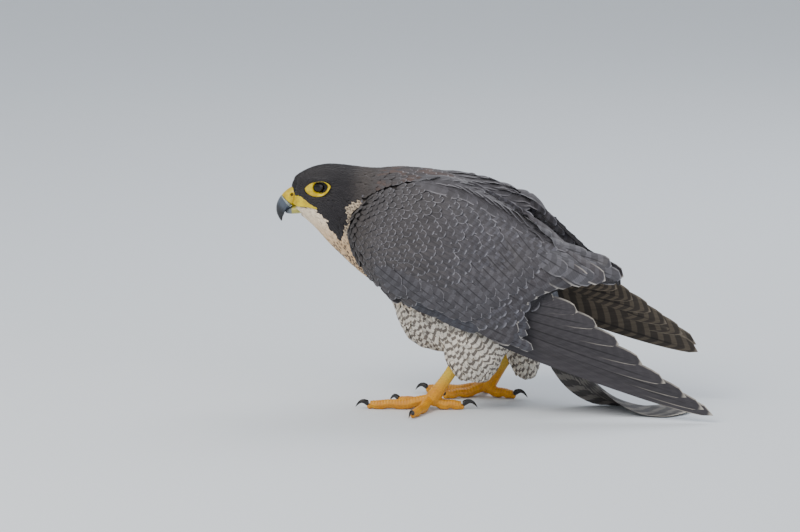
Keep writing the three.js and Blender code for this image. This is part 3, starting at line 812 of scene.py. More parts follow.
def barycentric(point, corner):
    a, b, c = corner
    one, two, three = b - a, c - a, point - a
    d11, d12, d22 = one @ one, one @ two, two @ two
    d31, d32 = three @ one, three @ two
    scale = d11 * d22 - d12 * d12
    if scale < 1e-20:
        return np.array([1.0, 0, 0])
    v = (d22 * d31 - d12 * d32) / scale
    w = (d11 * d32 - d12 * d31) / scale
    return np.clip(np.array([1 - v - w, v, w]), 0, 1)


CANDIDATES = 5.0            # places tried for each square of skin as wide as the feathers' spacing


def scattered_roots(form, share):
    """Roots spread over the form, each apart from the next by a share of its feather's width."""
    corner = form.points[form.triangles]
    area = np.linalg.norm(np.cross(corner[:, 1] - corner[:, 0], corner[:, 2] - corner[:, 0]), axis=1) / 2
    centre = corner.mean(axis=1)
    region = form.regions[form.triangles[:, 0]]
    _, _, width = lie_at(centre, region)
    spacing = share * width * MM
    repeats = rng.poisson(CANDIDATES * area / spacing ** 2)
    index = np.repeat(np.arange(len(area)), repeats)
    rng.shuffle(index)
    r1, r2 = np.sqrt(rng.random(len(index))), rng.random(len(index))
    weights = np.column_stack([1 - r1, r1 * (1 - r2), r1 * r2])
    points = np.einsum("ij,ijk->ik", weights, corner[index])
    spread = spacing[index]
    tree = KDTree(len(points))
    for i, point in enumerate(points):
        tree.insert(point, i)
    tree.balance()
    free = np.ones(len(points), dtype=bool)
    chosen = []
    for i in range(len(points)):
        if not free[i]:
            continue
        chosen.append(i)
        for _, near, _ in tree.find_range(points[i], spread[i]):
            free[near] = False
    chosen = np.array(chosen)
    face = index[chosen]
    normals = np.einsum("ij,ijk->ik", weights[chosen], form.normals[form.triangles[face]])
    uv = np.einsum("ij,ijk->ik", weights[chosen], form.uv[form.loops[face]])
    return points[chosen], unit(normals), region[face], uv


COVERT_ROW_STEP, COVERT_STEP = 0.52, 0.86    # along and across a row, as shares of the width
COVERTS_END, COVERTS_WIDE = 200, 120         # how far the rows run behind and beside the wrist, mm
SIDEWAYS = 0.4              # a wing's surface that faces the side this much carries the rows
OUTSIDE = 150               # mm from the middle plane, clear of both wings


def covert_roots(form, side):
    """Rows of roots that fan out behind the wrist, each row staggered on the last."""
    start, growth = COVERT_WIDTH
    points, normals, uv = [], [], []
    name = side_name(side) + "_wing"
    for n in range(-5, 60):
        width = start * math.exp(growth * COVERT_ROW_STEP * n)
        behind = (width - start) / growth
        if behind > COVERTS_END:
            break
        step = COVERT_STEP * width
        reach = math.ceil(COVERTS_WIDE / step)
        for m in range(-reach, reach):
            aside = (m + 0.5 * (n % 2)) * step + rng.normal(0, STRAY) * width
            back = behind + rng.normal(0, STRAY) * width
            x = WRIST[0] + back * WING_AXIS[0] - aside * WING_AXIS[1]
            z = WRIST[1] + back * WING_AXIS[1] + aside * WING_AXIS[0]
            place, facing, index, _ = form.tree.ray_cast(at(x, side * OUTSIDE, z), Vector((0, -side, 0)))
            if place is None or facing.y * side < SIDEWAYS:
                continue
            triangle = form.triangles[index]
            if form.regions[triangle[0]] != name:
                continue
            weights = barycentric(np.array(place), form.points[triangle])
            points.append(np.array(place))
            normals.append(weights @ form.normals[triangle])
            uv.append(weights @ form.uv[form.loops[index]])
    return np.array(points), unit(np.array(normals)), np.full(len(points), name), np.array(uv)


# How far a tip stands off the form, mm, by node and elsewhere
LIFT = {"head": 0.15, "neck": 0.35, "left_thigh": 1.1, "right_thigh": 1.1}
LIFT_ELSEWHERE = 0.5
SINK_SHARE = 0.8            # of the coat's depth, at the root
STRAY = 0.05                # how far feathers stray from the lie, and roots from their row
LONGER, WIDER = (0.9, 1.1), (0.93, 1.07)        # how feathers differ in size
SHORTENED = 0.6             # to this share, up to three times, where a feather reaches over bare skin


def laid(form, roots, normals, regions):
    """Turn and size of each vane: root sunk in the coat, tip a little off the form."""
    direction, length, width = lie_at(roots, regions)
    direction = direction + rng.normal(0, STRAY, direction.shape)
    length = length * rng.uniform(*LONGER, len(length))
    width = width * rng.uniform(*WIDER, len(width))
    tangent = unit(direction - normals * np.sum(direction * normals, axis=1, keepdims=True))
    for _ in range(3):
        over = is_bare(roots + tangent * (length * MM)[:, None])
        length = np.where(over, length * SHORTENED, length)
    turns, sizes, sunk = [], [], []
    kept = np.ones(len(roots), dtype=bool)
    for i in range(len(roots)):
        normal = Vector(normals[i])
        root = Vector(roots[i]) - normal * COAT_DEPTH.get(regions[i], ELSEWHERE) * SINK_SHARE * MM
        reach = Vector(roots[i]) + Vector(tangent[i]) * length[i] * MM
        place, outward, index = form.nearest(reach)
        onto = form.regions[form.triangles[index][0]]
        kept[i] = regions[i].endswith("wing") or not onto.endswith("wing")
        lift = LIFT.get(regions[i], LIFT_ELSEWHERE) * (0.6 + 0.8 * rng.random()) * MM
        tip = place + outward * lift
        along = tip - root
        up = normal + outward
        x = along.normalized()
        y = up.cross(x).normalized()
        z = x.cross(y)
        turn = Matrix((x, y, z)).transposed().to_euler()
        turns.append(turn[:])
        sizes.append((along.length, width[i] * MM, length[i] * MM))
        sunk.append(root[:])
    return np.array(sunk), np.array(turns), np.array(sizes), kept


# Bare places: the eyes' rings, the cere, the bill and the gape

RING_BARE = (11.2, 6.4)     # half-width and half-height of the bare ring's place in the coat, mm
RING_AHEAD, RING_BELOW, RING_LEAN = 3.6, 1.2, 0.12      # its middle from the opening's, and its fall
CERE_BACK, CERE_HALF, CERE_TOP, CERE_LOW, CERE_SLANT = 16, 11, 6, -17, 20.5
BILL_BACK, GAPE_END = 24, 3


def is_bare(points):
    f, u, a = in_head(points)
    ahead, above = f + OPENING_BACK - RING_AHEAD, u + RING_BELOW + RING_LEAN * f
    ring = (ahead / RING_BARE[0]) ** 2 + (above / RING_BARE[1]) ** 2 < 1
    ring &= np.abs(a) > 8
    cere = (f > CERE_BACK) & (np.abs(a) < CERE_HALF) & (u > CERE_LOW)
    cere &= (u < CERE_TOP - 0.25 * (f - CERE_BACK)) & (f - 0.35 * u > CERE_SLANT)
    bill = (f > BILL_BACK) & (u < CERE_TOP)
    back = [-v for v in GAPE[0]]
    gape_line, gape_half = np.interp(-f, back, GAPE[1]), np.interp(-f, back, GAPE[2])
    return ring | cere | bill | ((f > GAPE_END) & (np.abs(u - gape_line) < gape_half))


# The flight zone of each wing, in side view: here whole feathers are laid one by one

FLIGHT_FRONT = ([40, 60, 80, 92, 102, 125, 150, 166, 215], [-80, -60, -30, 16, 30, 36, 50, 44, 40])
COVERT_ROW = ([-90, -43, -23, -6, 12, 30, 60], [104, 97, 90, 83, 87, 99, 120])


def in_flight_zone(points, regions):
    x, _, z = in_part(points).T
    wing = np.isin(regions, WINGS)
    below = z < np.interp(x, *COVERT_ROW)
    return wing & ((x > np.interp(z, *FLIGHT_FRONT)) | below)


# The coat's pieces: the nodes that each covers, its vane, and how many degrees its feathers ruffle
PIECES = {
    "head_feathers": (["head"], FACE_VANE, 3.0),
    "neck_feathers": (["neck"], BODY_VANE, 3.0),
    "body_feathers": (["trunk"], BODY_VANE, 2.0),
    "leg_feathers": (THIGHS, PLUME_VANE, 9.0),
    "left_coverts": (["left_wing"], COVERT_VANE, 0.8),
    "right_coverts": (["right_wing"], COVERT_VANE, 0.8),
}
SPACING = 0.50              # between roots, as a share of a feather's width


def coat(form, material):
    """The contour feathers, in pieces by the part of the body that they cover."""
    roots, normals, regions, uv = scattered_roots(form, SPACING)
    wing = np.isin(regions, WINGS)
    outward = normals[:, 1] * np.where(regions == "left_wing", -1, 1)
    loose = ~wing | (outward < SIDEWAYS)
    groups = [(roots[loose], normals[loose], regions[loose], uv[loose])]
    groups += [covert_roots(form, side) for side in SIDES.values()]
    roots, normals, regions, uv = (np.concatenate(column) for column in zip(*groups))
    keep = ~is_bare(roots) & ~in_flight_zone(roots, regions)
    roots, normals, regions, uv = roots[keep], normals[keep], regions[keep], uv[keep]
    values = wear_of(roots, regions)
    sunk, turns, sizes, kept = laid(form, roots, normals, regions)
    values["turn"], values["size"] = turns, sizes
    values["root_uv"] = np.column_stack([uv, np.zeros(len(uv))])
    made = []
    for seed, (name, (nodes, template, ruffle)) in enumerate(PIECES.items()):
        mine = np.isin(regions, nodes) & kept
        mesh = grown(name, sunk[mine], {key: data[mine] for key, data in values.items()},
                     template, material, ruffle, seed)
        print(name, int(mine.sum()), "feathers", len(mesh.polygons) * 2, "triangles")
        made.append(object_from(name, mesh))
    return made


# Long feathers, each laid on its own

RIB = (0, 0.25, 0.44, 0.5, 0.56, 0.75, 1)    # a section's points across the vane, edge to edge
CAMBER = 0.07               # how high a long vane arches across, as a share of its width
RACHIS = 0.25               # the shaft's rise above the vane, mm
VANE_THICK = 0.35 * MM      # at the root, and half that at the tip


class LongFeathers:
    """Gathers closed vanes of given course, and makes one mesh of them."""

    def __init__(self):
        self.points, self.faces, self.uv, self.values = [], [], [], {}
        self.count = 0

    def add(self, course, side, normal, half, wear, camber=CAMBER, root_thick=VANE_THICK):
        """Course, side and normal are rows along the vane; half holds its two half-widths."""
        steps = len(course)
        t = np.linspace(0, 1, steps)
        thick = root_thick * (1 - 0.5 * t)
        section = [(share, 0 < share < 1) for share in RIB] + [(share, -1) for share in RIB[-2:0:-1]]
        ring = []
        for share, face in section:
            across = -half[0] * (1 - 2 * share) if share < 0.5 else half[1] * (2 * share - 1)
            arch = camber * (half[0] + half[1]) * (1 - abs(2 * share - 1) ** 2)
            ridge = RACHIS * MM * (share == 0.5 and face > 0) * (1 - t)
            lift = arch + ridge + thick * 0.5 * face
            ring.append(course + side * across[:, None] + normal * lift[:, None])
        size = len(section)
        self.points.append(np.array(ring).transpose(1, 0, 2).reshape(-1, 3))
        self.uv.append(np.column_stack([np.tile([share for share, _ in section], steps),
                                        np.repeat(t, size)]))
        self.faces += ring_faces(steps, size, self.count)
        self.count += steps * size
        for name, value in wear.items():
            rows = np.tile(np.asarray(value, dtype=float), (steps * size, 1))
            self.values.setdefault(name, []).append(rows)

    def piece(self, name, material):
        mesh = mesh_with_uv(name, np.vstack(self.points), self.faces, np.vstack(self.uv))
        face_out(mesh)
        values = {key: np.vstack(rows) for key, rows in self.values.items()}
        write_values(mesh, {key: rows[:, 0] if rows.shape[1] == 1 else rows
                            for key, rows in values.items()})
        above_floor(mesh)
        bake_map(mesh)
        mesh.materials.append(material)
        return object_from(name, mesh)


FULL_WIDTH = 0.35           # share of the length at which a long vane has its full width
ROOT_WIDTH = 0.25


def outline(t, tip_start, power=2.2):
    """A long vane's half-width along its length: a narrow root, even sides and a round tip."""
    rise = ROOT_WIDTH + (1 - ROOT_WIDTH) * np.sin(np.clip(t / FULL_WIDTH, 0, 1) * np.pi / 2)
    fall = np.clip((t - tip_start) / (1 - tip_start), 0, 1)
    return rise * np.maximum(1 - fall ** power, 0.0) ** (1 / power) + VANE_TIP


def shifted(grid, reach, **padding):
    """The grid moved by up to reach cells each way, one layer for each move."""
    padded = np.pad(grid, reach, **padding)
    rows, columns = grid.shape
    moves = range(2 * reach + 1)
    return np.stack([padded[a:a + rows, b:b + columns] for a in moves for b in moves])


class Relief:
    """Heights that rays find over a square grid, read off smoothly between its points, in mm."""

    def __init__(self, tree, low, high, step, start, direction, axis, missing):
        """start gives a ray's start over a grid point; the height is the hit's place along axis."""
        self.low, self.step = low, step
        rows, columns = (np.arange(first, last, step) for first, last in zip(low, high))
        self.grid = np.full((len(rows), len(columns)), missing)
        for i, a in enumerate(rows):
            for j, b in enumerate(columns):
                hit = tree.ray_cast(start(a, b), direction)
                if hit[0] is not None:
                    self.grid[i, j] = in_part(hit[0])[axis]

    def height(self, a, b):
        i = np.clip((np.asarray(a) - self.low[0]) / self.step, 0, self.grid.shape[0] - 1.001)
        j = np.clip((np.asarray(b) - self.low[1]) / self.step, 0, self.grid.shape[1] - 1.001)
        a, b = i.astype(int), j.astype(int)
        s, t = i - a, j - b
        g = self.grid
        return ((1 - s) * (1 - t) * g[a, b] + s * (1 - t) * g[a + 1, b]
                + (1 - s) * t * g[a, b + 1] + s * t * g[a + 1, b + 1])


def to_frame(x, y, z):
    return np.column_stack([x, y, z]) * MM + np.array(SHIFT)


class Wing:
    """A wing's outer surface in side view, carried on past its edges, and feathers laid on it."""

    STEP = 2.0
    LOW, HIGH = (-132.0, 0.0), (222.0, 212.0)
    GROWTH = 90             # cells that the surface is carried past its edges at most

    def __init__(self, form, side):
        self.form, self.side = form, side
        solid = remeshed("wing_surface", [side_name(side) + "_wing"], 2.2 * MM, 0.3 * MM, 3)
        points, _, triangles, _ = arrays(solid)
        self.relief = Relief(tree_of(points, triangles), self.LOW, self.HIGH, self.STEP,
                             lambda x, z: at(x, side * OUTSIDE, z), Vector((0, -side, 0)), 1, np.nan)
        grid = self.relief.grid * side
        for _ in range(self.GROWTH):
            gaps = np.isnan(grid)
            if not gaps.any():
                break
            around = shifted(grid, 1, constant_values=np.nan)
            known = ~np.isnan(around)
            mean = np.where(known, around, 0).sum(axis=0) / np.maximum(known.sum(axis=0), 1)
            grid = np.where(gaps & known.any(axis=0), mean, grid)
        for _ in range(3):
            grid = shifted(grid, 1, mode="edge").mean(axis=0)
        self.relief.grid = grid

    def lay(self, gather, root, tip, half, layers, wear, out=None, bow=0.03, steps=13, tip_start=0.8,
            camber=CAMBER):
        """Lays a feather in side view from root to tip, on the surface or at a given depth.

        root and tip are (x, z); half is (lower, upper) half-width in mm; layers is the height in
        mm off the surface at root and tip; out gives (root, tip) distances from the middle plane.
        """
        root, tip = np.array(root, float), np.array(tip, float)
        t = np.linspace(0, 1, steps)
        length = np.linalg.norm(tip - root)
        along = (tip - root) / length
        across = np.array([-along[1], along[0]])
        line = root + np.outer(t, tip - root) - np.outer(bow * length * np.sin(np.pi * t), across)
        heading = unit(np.gradient(line, axis=0))
        square = np.column_stack([-heading[:, 1], heading[:, 0]])
        shape = outline(t, tip_start)
        lower, upper = half[0] * shape, half[1] * shape
        lift = np.interp(t, [0, 1], layers)

        def spot(offset):
            place = line + square * offset[:, None]
            depth = self.relief.height(*place.T) if out is None else np.interp(t, [0, 1], out)
            return to_frame(place[:, 0], self.side * (depth + lift), place[:, 1])

        centre, low, high = spot(0 * t), spot(-lower), spot(upper)
        side = unit(high - low)
        normal = unit(np.cross(unit(np.gradient(centre, axis=0)), side))
        normal *= np.sign(normal[:, 1:2] * self.side)
        root_uv = (*self.form.root_uv(Vector(centre[steps // 3])), 0)
        gather.add(centre, side, normal, (lower * MM, upper * MM), {**wear, "root_uv": root_uv}, camber)


# What each kind of long feather wears: tone, edge and ink, how strong its fringe and bars are, and
# how many bars it has
QUILLS = {
    "primary": ("#373437", "#c4bcaf", "#4c4a4c", 0.65, 0.15, 16),
    "far_primary": ("#3d3833", "#a89d8c", "#756b5c", 0.4, 0.42, 15),
    "secondary": ("#3e3b3e", "#b8b2aa", "#5f5e63", 0.85, 0.3, 10),
    "primary_covert": ("#3f3d42", "#b4b1ab", "#70757f", 0.7, 0.15, 7),
    "alula": ("#37373d", "#a8a6a2", "#70757f", 0.6, 0.1, 7),
    "tertial": ("#454448", "#a4a2a4", "#68676d", 0.5, 0.42, 6),
    "greater_covert": ("#444246", "#a09ea2", "#65646a", 0.55, 0.3, 4),
    "scapular": ("#434145", "#918f94", "#5f5e64", 0.5, 0.2, 3.4),
    "tail": ("#413e3d", "#c9c2b4", "#827d76", 0.85, 0.6, 13),
}


def quill_wear(kind):
    """One long feather's colours and marks, a little lighter or darker than the next one's."""
    tone, edge, ink, fringe, bars, bands = QUILLS[kind]
    chance = rng.random()
    colour = np.array(srgb(tone)) * (0.93 + 0.14 * chance)
    return {"tone": colour, "edge": srgb(edge), "ink": srgb(ink), "mark": (fringe, bars, 0.0),
            "bands": bands, "chance": chance}


# Feather tips in side view, (x, z) in mm

TERTIALS = [(122, 120.6), (113.2, 130.8), (101, 119), (92, 138), (78, 127), (72.4, 144), (60, 152)]
FAR_TERTIALS = [(70, 128), (66, 133), (62, 138), (56, 143), (48, 149), (40, 154), (32, 158)]
FAR_DROP = 11.0             # how much lower the far wing's last secondaries hang, mm
FAR_SHORTER = 0.7           # the far wing's tertials to the near one's, in length
TERTIAL_LENGTH, TERTIAL_SLOPE = (80, 70, 74, 62, 60, 50, 42), (20, 17, 29, 19, 30, 22, 24)
LAST_LONGER = 6             # the secondaries grow longer and steeper inwards up to this one
SECONDARIES = [(108.9, 118.9), (95.6, 117.6), (82.3, 115.4), (69.9, 112.4), (60.2, 108.5),
               (52.2, 103.9), (45.1, 98.4), (39.8, 91.2), (37.2, 83.2), (37.2, 74.5), (34.5, 67.4)]
PRIMARY_COVERTS = [(44, 84), (46, 78), (44, 72), (38.7, 68), (43, 62.5), (49, 59.5)]
ALULA = [(-30, 88), (-12, 82), (3.2, 75.1)]
GREATER_COVERTS = [(-60, 104), (-43, 99.7), (-32, 94), (-23.2, 91.7), (-13, 86), (-3, 84), (6, 87),
                   (14, 91.5), (22, 97.5), (29.6, 104.3), (37, 109), (44, 115), (50, 122), (55, 130)]
# Primaries, outermost first: tips, roots, distances from the middle plane at root and tip,
# lower and upper half-width, and where the tip begins to narrow
NEAR_PRIMARIES = (
    [(203, 6.6), (195, 11.5), (180, 21.5), (162, 33), (142, 49), (122, 65), (103, 80), (86, 92),
     (66, 101)],
    [(-22, 79), (-20, 84), (-18, 88), (-16, 92), (-14, 96), (-12, 100), (-11, 104), (-10, 108),
     (-9, 112)],
    (54, 50.6), (5.2, 10.5), 0.72)
FAR_PRIMARIES = (
    [(175.5, 45.6), (174, 52), (162, 60.5), (148, 69), (134, 79), (118, 89), (104, 98), (90, 105),
     (74, 109)],
    [(0, z) for z in (96, 100, 104, 108, 111, 114, 116, 118, 120)],
    (52, 39.5), (5.2, 15), 0.6)
PRIMARY_LAYER = 0.6         # between one primary and the next, mm


def back_up(tip, length, slope):
    """A root up and ahead of the tip, along a shaft that falls by slope degrees to the tip."""
    angle = math.radians(slope)
    return (tip[0] - length * math.cos(angle), tip[1] + length * math.sin(angle))


def primaries(wing, quills):
    far = wing.side > 0
    tips, roots, (root_out, tip_out), half, tip_start = FAR_PRIMARIES if far else NEAR_PRIMARIES
    for i, tip in enumerate(tips):
        layer = PRIMARY_LAYER * (i - len(tips))
        wear = quill_wear("primary")
        if far:
            wear = quill_wear("far_primary")
        wing.lay(quills, roots[i], tip, half, (0, 0), wear, (root_out + layer, tip_out + layer * 0.5 + 1.6),
                 bow=0.012, steps=26, tip_start=tip_start, camber=0.012)


def flight_feathers(form, side, material):
    """A wing's long feathers, in two pieces: its quills, and the tertials and greater coverts."""
    wing, far = Wing(form, side), side > 0
    quills, cover = LongFeathers(), LongFeathers()
    primaries(wing, quills)
    for i, tip in enumerate(reversed(SECONDARIES)):
        if far:
            tip = (tip[0], tip[1] - FAR_DROP * float(smooth(tip[0], 50, 90)))
        inner = min(i, LAST_LONGER)
        root = back_up(tip, 74 + 3.0 * inner, 28 + 1.1 * inner)
        wing.lay(quills, root, tip, (9.5, 7.5), (-3.0, -0.9 + 0.2 * i), quill_wear("secondary"),
                 bow=0.02, tip_start=0.84, steps=18)
    for i, tip in enumerate(PRIMARY_COVERTS):
        wing.lay(quills, back_up(tip, 46, 20 + 2 * i), tip, (4.6, 4.6), (-2.2, -1.2 + 0.1 * i),
                 quill_wear("primary_covert"))
    for i, tip in enumerate(ALULA):
        wing.lay(quills, back_up(tip, 40 + 6 * i, 22), tip, (5.5, 5), (-1.4, 0.2), quill_wear("alula"))
    for i, tip in enumerate(FAR_TERTIALS if far else TERTIALS):
        root = back_up(tip, TERTIAL_LENGTH[i] * (FAR_SHORTER if far else 1), TERTIAL_SLOPE[i])
        wing.lay(cover, root, tip, (9.5, 7.5), (-1.6, 0.4 + 0.3 * i), quill_wear("tertial"),
                 bow=0.02, steps=18)
    for i, tip in enumerate(GREATER_COVERTS):
        wear = quill_wear("greater_covert")
        slope = 36 + 0.6 * i
        second = (tip[0] - 4, tip[1] + 9)
        for end, length, half, layers in ((tip, 40 + 1.2 * i, (7.2, 6.8), (-1.2, 1.5)),
                                          (second, 34, (7.0, 6.6), (-1.0, 2.0))):
            wing.lay(cover, back_up(end, length, slope), end, half, layers, wear, bow=0.02, tip_start=0.72)
    name = side_name(side)
    return quills.piece(name + "_quills", material), cover.piece(name + "_tertials", material)


# Scapulars: rows over the seam where each wing's upper edge lies on the back

SEAM_ROWS = ((28, 38), (21, 31), (14, 25))      # each row's roots and tips, mm from the middle plane
SEAM_FIRST, SEAM_STEP, SEAM_COUNT = -64.0, 8.6, 14
SCAPULAR_LENGTH, SCAPULAR_HALF = 36.0, 7.6
SCAPULAR_LIFT = (-1.6, 2.8, 0.25)       # at the root, more at the tip, and more for each row
SEAM_STRAY = (0.8, 0.6)     # how far a scapular strays along and across its row
STEEPEST = 0.8              # a scapular that would fall more than this, for its length, is left out


class BackBlanket(Relief):
    """The back's height from above, with the hollows beside the wings bridged."""

    LOW, HIGH = (-114.0, -72.0), (115.0, 73.0)
    REACH = 4               # cells: hollows up to twice this wide are bridged

    def __init__(self, form):
        super().__init__(form.tree, self.LOW, self.HIGH, 3.0, lambda x, y: at(x, y, 260), -UP, 2, 0.0)
        filled = shifted(self.grid, self.REACH, mode="edge").max(axis=0)
        closed = shifted(filled, self.REACH, mode="edge").min(axis=0)
        self.grid = shifted(closed, 1, mode="edge").mean(axis=0)


def scapulars(form, material):
    gather = LongFeathers()
    blanket = BackBlanket(form)
    t = np.linspace(0, 1, 14)
    shape = outline(t, 0.6) * SCAPULAR_HALF
    for side in SIDES.values():
        for row, (near, far) in enumerate(SEAM_ROWS):
            for i in range(SEAM_COUNT):
                first = SEAM_FIRST + SEAM_STEP * (i + 0.5 * (row % 2))
                x = first + rng.normal(0, SEAM_STRAY[0]) + t * SCAPULAR_LENGTH
                out = near + (far - near) * t + rng.normal(0, SEAM_STRAY[1])
                lift = SCAPULAR_LIFT[0] + (SCAPULAR_LIFT[1] + SCAPULAR_LIFT[2] * row) * t

                def spot(offset):
                    y = side * (out + offset)
                    return to_frame(x, y, blanket.height(x, y) + lift)

                centre, inner, outer = spot(0 * t), spot(-shape), spot(shape)
                heights = np.concatenate([centre[:, 2], inner[:, 2], outer[:, 2]])
                if heights.max() - heights.min() > STEEPEST * SCAPULAR_LENGTH * MM:
                    continue
                across = unit(outer - inner)
                normal = unit(np.cross(unit(np.gradient(centre, axis=0)), across))
                normal *= np.sign(normal[:, 2:3])
                wear = quill_wear("scapular")
                wear["root_uv"] = (*form.root_uv(Vector(centre[3])), 0)
                gather.add(centre, across, normal, (shape * MM, shape * MM), wear)
    return gather.piece("scapulars", material)


# Tail: twelve feathers that leave the rump steeply and lie down along the floor

TAIL_ROOT = (50, -6.5, 74.5)
TAIL_PAIRS = 6
TAIL_LENGTH = 160.0
TAIL_IN_RUMP = 12           # how far its feathers start inside the rump
TAIL_SLOPE = math.radians(62)
TAIL_BEND = 96.0            # radius where the floor bends the tail flat
TAIL_TIP_HEIGHT = 1.0       # the middle of the vanes on the floor
TAIL_WIDTHS = (42, 62)      # at the root and the end
TAIL_HALF = (8.6, 0.25)     # half-width of a middle feather, and how much less each next one has
TAIL_TENT = 5.5             # how much lower the outer feathers lie where the tail leaves the rump
TAIL_LAYER = 0.28           # from one pair down to the next
TAIL_TOP = (1.95, 1.8)      # the middle pair over the tail's middle line, at the root and the end
TAIL_ROLL = math.radians(-42)


def tail_point(distance):
    """Side-view place and downward angle of the tail's middle line."""
    drop = TAIL_ROOT[2] - TAIL_TIP_HEIGHT
    straight = (drop - TAIL_BEND * (1 - math.cos(TAIL_SLOPE))) / math.sin(TAIL_SLOPE)
    arc = TAIL_BEND * TAIL_SLOPE
    run = min(distance, straight)
    turned = min(max(distance - straight, 0), arc) / TAIL_BEND
    flat = max(distance - straight - arc, 0)
    angle = TAIL_SLOPE - turned
    x = TAIL_ROOT[0] + run * math.cos(TAIL_SLOPE) + flat
    x += TAIL_BEND * (math.sin(TAIL_SLOPE) - math.sin(angle))
    z = TAIL_ROOT[2] - run * math.sin(TAIL_SLOPE)
    z -= TAIL_BEND * (math.cos(angle) - math.cos(TAIL_SLOPE))
    return x, z, angle


def tail_frame(distance):
    """Middle, across and upward directions of the tail at a distance from its root."""
    x, z, angle = tail_point(distance)
    along = Vector((math.cos(angle), 0, -math.sin(angle)))
    normal = Vector((math.sin(angle), 0, math.cos(angle)))
    lie = float(smooth(distance / TAIL_LENGTH, 0.3, 0.84))
    normal.rotate(Matrix.Rotation(TAIL_ROLL * (1 - lie), 3, along))
    return Vector((x, TAIL_ROOT[1], z)), along, along.cross(normal), normal, lie


def tail_feathers(form, material):
    gather = LongFeathers()
    t = np.linspace(0, 1, 30)
    shape = outline(t, 0.88, power=2.6)
    root_uv = (*form.root_uv(at(*TAIL_ROOT)), 0)
    for rank in range(TAIL_PAIRS):
        for hand in (-1, 1):
            spread = hand * (rank + 0.5) / TAIL_PAIRS
            reach = TAIL_LENGTH - rank ** 1.5
            half = TAIL_HALF[0] - TAIL_HALF[1] * rank
            rows = []
            for distance in -TAIL_IN_RUMP + (reach + TAIL_IN_RUMP) * t:
                middle_line, along, across, normal, lie = tail_frame(max(distance, -10.0))
                share = max(distance, 0) / TAIL_LENGTH
                width = TAIL_WIDTHS[0] + (TAIL_WIDTHS[1] - TAIL_WIDTHS[0]) * share
                offset = spread * (width / 2 - half * 0.93)
                layer = TAIL_LAYER * (rank + 0.5 * (hand > 0))
                tent = TAIL_TENT * (1 - lie) * (2 * offset / width) ** 2 + layer
                height = TAIL_TOP[0] * (1 - lie) + TAIL_TOP[1] * lie - tent
                place = middle_line + across * offset + normal * height
                lean = Vector(across) - normal * (0.5 * (1 - lie) * spread)
                rows.append((np.array(at(*place)), np.array(lean.normalized()), np.array(normal)))
            course, side, normals = (np.array(column) for column in zip(*rows))
            wide = (half * shape * MM, half * shape * MM)
            gather.add(course, side, normals, wide, {**quill_wear("tail"), "root_uv": root_uv},
                       root_thick=0.3 * MM)
    made = gather.piece("tail_feathers", material)
    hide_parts("tail")
    return made


# Eyes, with the bare ring of skin round each

EYE_RADIUS = 8.0
OPENING = (5.7, 4.8)        # half-width and half-height of the eye that shows
OPENING_BACK = 1.1          # the opening and the bare ring lie this far behind the ball's middle
OPENING_TILT = math.radians(8)
RING_FRONT_BACK, RING_UP_DOWN = (13.2, 9.6), (5.5, 7.8)     # the bare ring's reach each way
RING_POWERS = (1.35, 1.6)   # above 1 its front and back end in a point
RING_FALL = 0.11            # it slopes down to the front
GAZE_AHEAD = 0.25           # the eyes look this much ahead, for each unit to the side


def ring_outline(angle):
    """The bare ring's outer edge round the eye, forward and up: drawn out in front of the eye."""
    c, s = math.cos(angle), math.sin(angle)
    reach, height = RING_FRONT_BACK[c <= 0], RING_UP_DOWN[s <= 0]
    f = reach * math.copysign(abs(c) ** (2 / 2.2), c) - OPENING_BACK
    u = height * math.copysign(abs(s) ** RING_POWERS[c <= 0], s) - RING_FALL * f
    return f, u


def eye_centre(side):
    return LEFT_EYE if side < 0 else RIGHT_EYE


def eyeball(side, material):
    name = side_name(side) + "_eye"
    made = bmesh.new()
    bmesh.ops.create_uvsphere(made, u_segments=64, v_segments=40, radius=EYE_RADIUS * MM)
    turn = (ACROSS * side + FORWARD * GAZE_AHEAD).to_track_quat("Z", "Y").to_matrix().to_4x4()
    bmesh.ops.transform(made, matrix=Matrix.Translation(eye_centre(side)) @ turn, verts=made.verts)
    mesh = bpy.data.meshes.new(name + "ball")
    made.to_mesh(mesh)
    made.free()
    mesh.shade_smooth()
    mesh.materials.append(material)
    ball = object_from(name + "ball", mesh)
    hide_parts(name)
    return ball


def eye_material(side):
    """Glossy dark brown eye, nearly black: a faint brown iris round a black pupil."""
    material, add = blank_material(side_name(side) + "_wet_eye")
    vector = "ShaderNodeVectorMath"
    gaze = (ACROSS * side + FORWARD * GAZE_AHEAD).normalized()
    offset = add(vector, SUBTRACT, add(PLACES, out="Object"), eye_centre(side))
    heading = add(vector, {"operation": "NORMALIZE"}, offset)
    facing = add(vector, {"operation": "DOT_PRODUCT"}, heading, gaze, out="Value")
    flecks = add(NOISE, Vector=heading, Scale=22.0, Detail=4.0)
    iris = add(BLEND, MIX, flecks, _6=rgba("#0c0807"), _7=rgba("#1c110b"), out=2)
    rim = add(RAMP, SMOOTH, facing, 0.80, 0.74)
    iris = add(BLEND, MIX, rim, _6=iris, _7=rgba("#0c0908"), out=2)
    pupil = add(RAMP, SMOOTH, facing, 0.915, 0.94)
    colour = add(BLEND, MIX, pupil, _6=iris, _7=rgba("#020203"), out=2)
    add(RESULT, None, add(SHADER, Base_Color=colour, Roughness=0.05, Coat_Weight=0.2, Coat_Roughness=0.02,
                          Specular_IOR_Level=0.35))
    return material


def ringed(name, rows, material, capped):
    """A closed mesh through rows of points that each go once round."""
    mesh = bpy.data.meshes.new(name)
    faces = ring_faces(len(rows), len(rows[0]), capped=capped)
    mesh.from_pydata([tuple(p) for row in rows for p in row], [], faces)
    face_out(mesh)
    mesh.shade_smooth()
    mesh.materials.append(material)
    return object_from(name, mesh)


